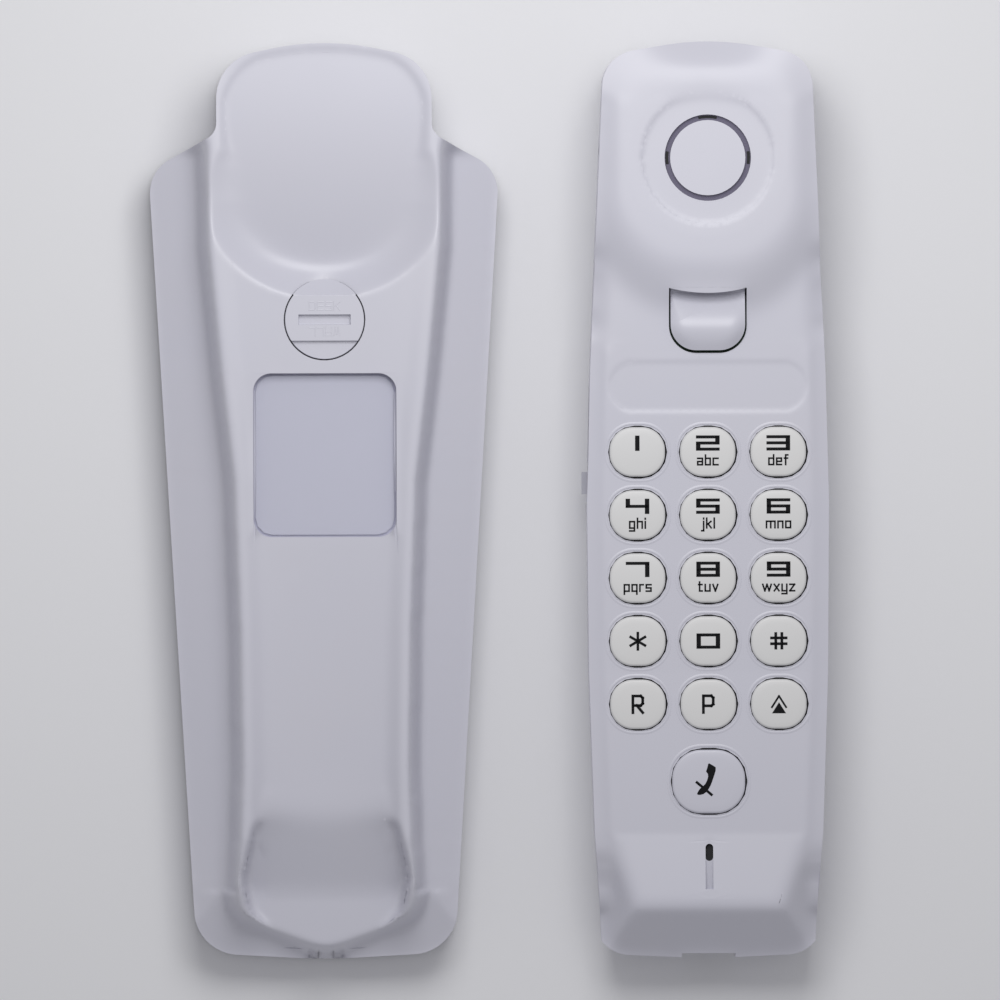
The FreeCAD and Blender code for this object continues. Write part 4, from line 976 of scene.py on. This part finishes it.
def ribbon(form, start, end, width, surface, rise=0.0):
    """Quads along one straight stroke on a surface, with its middle line raised."""
    (x0, y0), (x1, y1) = start, end
    length = math.hypot(x1 - x0, y1 - y0)
    ux, uy = (x1 - x0) / length, (y1 - y0) / length
    count = max(1, math.ceil(length / quad_length))
    rows = []
    for i in range(count + 1):
        along = length * i / count
        x, y = x0 + ux * along, y0 + uy * along
        sides = [(x - uy * width / 2 * s, y + ux * width / 2 * s) for s in (-1, 0, 1)]
        rows.append([point(form, a, b, surface(a, b) + lift) for (a, b), lift in zip(sides, (0, rise, 0))])
    bridge(form, rows)


def draw(form, strokes, place, upright, bar, surface, rise=0.0):
    """Strokes through `place`, with one width for upright strokes and one for level ones."""
    for stroke in strokes:
        points = [place(a, b) for a, b in stroke]
        for (x0, y0), (x1, y1) in zip(points[:-1], points[1:]):
            level = abs(y1 - y0) < abs(x1 - x0) * 0.2
            width = bar if level else upright
            cap = (upright if level else bar) / 2
            length = math.hypot(x1 - x0, y1 - y0)
            ex, ey = (x1 - x0) / length * cap, (y1 - y0) / length * cap
            ribbon(form, (x0 - ex, y0 - ey), (x1 + ex, y1 + ey), width, surface, rise=rise)


def strip(form, pairs, surface):
    """Quads through pairs of points to the left and right of a shape's middle line."""
    rows = []
    for left, right in pairs:
        middle = ((left[0] + right[0]) / 2, (left[1] + right[1]) / 2)
        rows.append([point(form, a, b, surface(a, b)) for a, b in (left, middle, right)])
    bridge(form, rows)


def glyph_width(strokes):
    return max(a for stroke in strokes for a, _ in stroke)


def grid(x, y, width, height):
    """Places unit strokes in a cell with its lower left corner at (x, y)."""
    return lambda a, b: (x + a * width, y + b * height)


def draw_word(form, word, table, middle, foot, cell, gap, stroke, surface, turned=False, rise=0.0):
    """A word centred on `middle`; `turned` sets it upside down about the point (middle, foot)."""
    width, height = cell
    advance = [glyph_width(table[c]) * width for c in word]
    left = middle - (sum(advance) + gap * (len(word) - 1)) / 2
    for letter, step in zip(word, advance):
        place = grid(left, foot, width, height)
        if turned:
            straight = place
            place = lambda a, b, inner=straight: (2 * middle - inner(a, b)[0], 2 * foot - inner(a, b)[1])
        draw(form, table[letter], place, stroke, stroke, surface, rise)
        left += step + gap


# %% Legends on the caps
film = 0.012  # how far the ink stands off the cap
digit_cell = (4.5, 2.86)
letter_cell = (1.1, 1.5)
legend_words = {"2": "abc", "3": "def", "4": "ghi", "5": "jkl", "6": "mno",
                "7": "pqrs", "8": "tuv", "9": "wxyz"}
signs = {"star": (star_strokes, 1.9, 0.62), "hash": (hash_strokes, 1.7, 0.66)}  # half size, stroke
function_letters = {"recall": "R", "pause": "P"}


def on_cap(node):
    """The crown of a cap, lifted by the film of ink."""
    x, y, half_a, half_b, top = keys[node]
    return lambda a, b: crown(a - x, b - y, half_a, half_b, top) + film


def legend(node):
    """The ink on one key."""
    x, y = keys[node][:2]
    surface = on_cap(node)
    form = bmesh.new()
    mark = node.split("_")[1]
    if mark in digit_strokes:
        lift = 0.6 if mark in legend_words or mark == "1" else -digit_cell[1] / 2
        place = grid(x - digit_cell[0] / 2, y + lift, *digit_cell)
        draw(form, digit_strokes[mark], place, 1.05, 0.72, surface)
    if mark in legend_words:
        draw_word(form, legend_words[mark], letter_strokes, x, y - 3.05, letter_cell, 0.72, 0.40, surface)
    if mark in signs:
        strokes, size, stroke = signs[mark]
        draw(form, strokes, lambda a, b: (x + a * size, y + b * size), stroke, stroke, surface)
    if mark in function_letters:
        strokes = capital_strokes[function_letters[mark]]
        draw(form, strokes, grid(x - 1.2, y - 1.95, 2.3, 3.9), 0.66, 0.66, surface)
    if mark == "redial":
        sides = [(1.65 * (1 - i / 6), y - 2.2 + 2.6 * i / 6) for i in range(7)]
        strip(form, [((x - wide, b), (x + max(wide, 0.02), b)) for wide, b in sides], surface)
        draw(form, [[(-1, 0), (0, 1), (1, 0)]], lambda a, b: (x + a * 1.65, y - 0.75 + b * 2.6),
             0.45, 0.45, surface)
    if mark == "flash":
        strip(form, [((x + a, y + b), (x + c, y + d)) for a, b, c, d in handset_icon], surface)
        ribbon(form, (x - 3.0, y + 0.0), (x + 0.86, y - 3.25), 0.62, surface)
    link(finished(form, "ink_" + node), black_ink, node)


for node in keys:
    legend(node)

# %% [markdown]
# ## Raised words on the wall hook
# The turning hook says which way up it goes: one word reads upright above the coin slot, and the
# other stands on its head below it. The tool has them cut in, so on the moulding they stand proud.

# %% Words on the hook
word_rise = 0.10
word_cell = (1.35, 1.8)
slot_from_end = 9.25  # from the hook's lower end to its coin slot
hook_low, hook_high = box_mm("wall_hook")


def raised_words():
    """Both words as low ridges on the hook's face."""
    middle = (hook_low.x + hook_high.x) / 2
    slot_y = hook_low.y + slot_from_end
    form = bmesh.new()
    level = lambda a, b: hook_high.z - 0.01
    for word, foot, turned in (("DESK", slot_y + 2.3, False), ("WALL", slot_y - 1.9, True)):
        draw_word(form, word, capital_strokes, middle, foot, word_cell, 0.55, 0.34, level,
                  turned=turned, rise=word_rise)
    link(finished(form, "hook_words"), shell_abs, "wall_hook")


raised_words()

# %% [markdown]
# ## The hook's lip
# On the cup's side the hook ends in a straight edge. Its lip slopes from there into the cup and
# carries the dish's wall on, so the disc all but vanishes on that side.

# %% Lip of the hook
lip_edge = 48.1  # the hook's straight edge
lip_half = 7.3
lip_radius = 9.5  # the disc's outline, just inside its pocket


def hook_lip():
    """The sloping lip, as a grid of 24 by 8 faces."""
    form = bmesh.new()
    rows = []
    for j in range(9):
        row = []
        for i in range(25):
            x = -lip_half + 2 * lip_half * i / 24
            far = hook_y + math.sqrt(lip_radius ** 2 - x ** 2)
            y = lip_edge + (far - lip_edge) * j / 8
            z = min(hook_high.z - 0.02, float(cup(np.array(base_x + x), np.array(y))[1]))
            row.append(point(form, base_x + x, y, z))
        rows.append(row)
    bridge(form, rows)
    obj = finished(form, "hook_lip")
    link(obj, shell_abs, "wall_hook")


hook_lip()

# %% [markdown]
# ## Pieces that keep their CAD form
# What lies inside, below or behind keeps its CAD solid and gets its own material. Only the
# material slots of these nodes change.

# %% Materials of the carried-over nodes
plain = (
    (foot_rubber, "base_feet"), (card_paper, "index_card"), (laminate, "circuit_board"),
    (zinc_steel, "base_screws handset_screws hook_screw hook_pin"),
    (raw_steel, "ballast_plate receiver_magnet"),
    (jack_pbt, "base_cord_jack line_jack handset_jack board_parts receiver_frame hook_switch ringer_switch"),
    (gold_wire, "base_cord_contacts line_contacts handset_contacts ringer_disc"),
    (silicone, "keypad_membrane mic_boot"), (can_metal, "microphone"), (knob_abs, "ringer_knob"),
)
for material, nodes in plain:
    for node in nodes.split():
        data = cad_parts[node].data
        data.materials.clear()
        data.materials.append(material)
        print(node, material.name)

# %% [markdown]
# ## Studio
# A pale seamless floor and one soft lamp beyond the ear ends, half way up the sky: surfaces that
# face the mouth ends fall into shade, and the light fades towards them, as in the photograph.
# The even world light fills in the rest. Together they show a colour about as it is written.
# The studio is laid out in metres, and its floor is a sheet of paper six metres wide.

# %% Floor, lamp and world
half = 3.0
form = bmesh.new()
form.faces.new([form.verts.new((x * half, y * half, 0)) for x, y in ((-1, -1), (1, -1), (1, 1), (-1, 1))])
floor = finished(form, "studio_floor")
paper, tree, shader = new_material("matt_paper_backdrop", "#E6E6E8", Roughness=0.9)
emboss(tree, shader, noise(tree, 0.002), 0.00001)
floor.data.materials.append(paper)
bpy.context.scene.collection.objects.link(floor)

softbox = bpy.data.lights.new("key_softbox", "AREA")
softbox.size = 0.26
softbox.energy = 1.02
lamp = bpy.data.objects.new("key_softbox", softbox)
lamp.location = (0.015, 0.21, 0.38)
lamp.rotation_euler = Vector(lamp.location).to_track_quat("Z", "Y").to_euler()
bpy.context.scene.collection.objects.link(lamp)

world = bpy.data.worlds.new("studio")
world.use_nodes = True
world.node_tree.nodes["Background"].inputs["Color"].default_value = linear("#E8E8EC")
world.node_tree.nodes["Background"].inputs["Strength"].default_value = 0.49
bpy.context.scene.world = world
bpy.context.scene.view_settings.view_transform = "Standard"
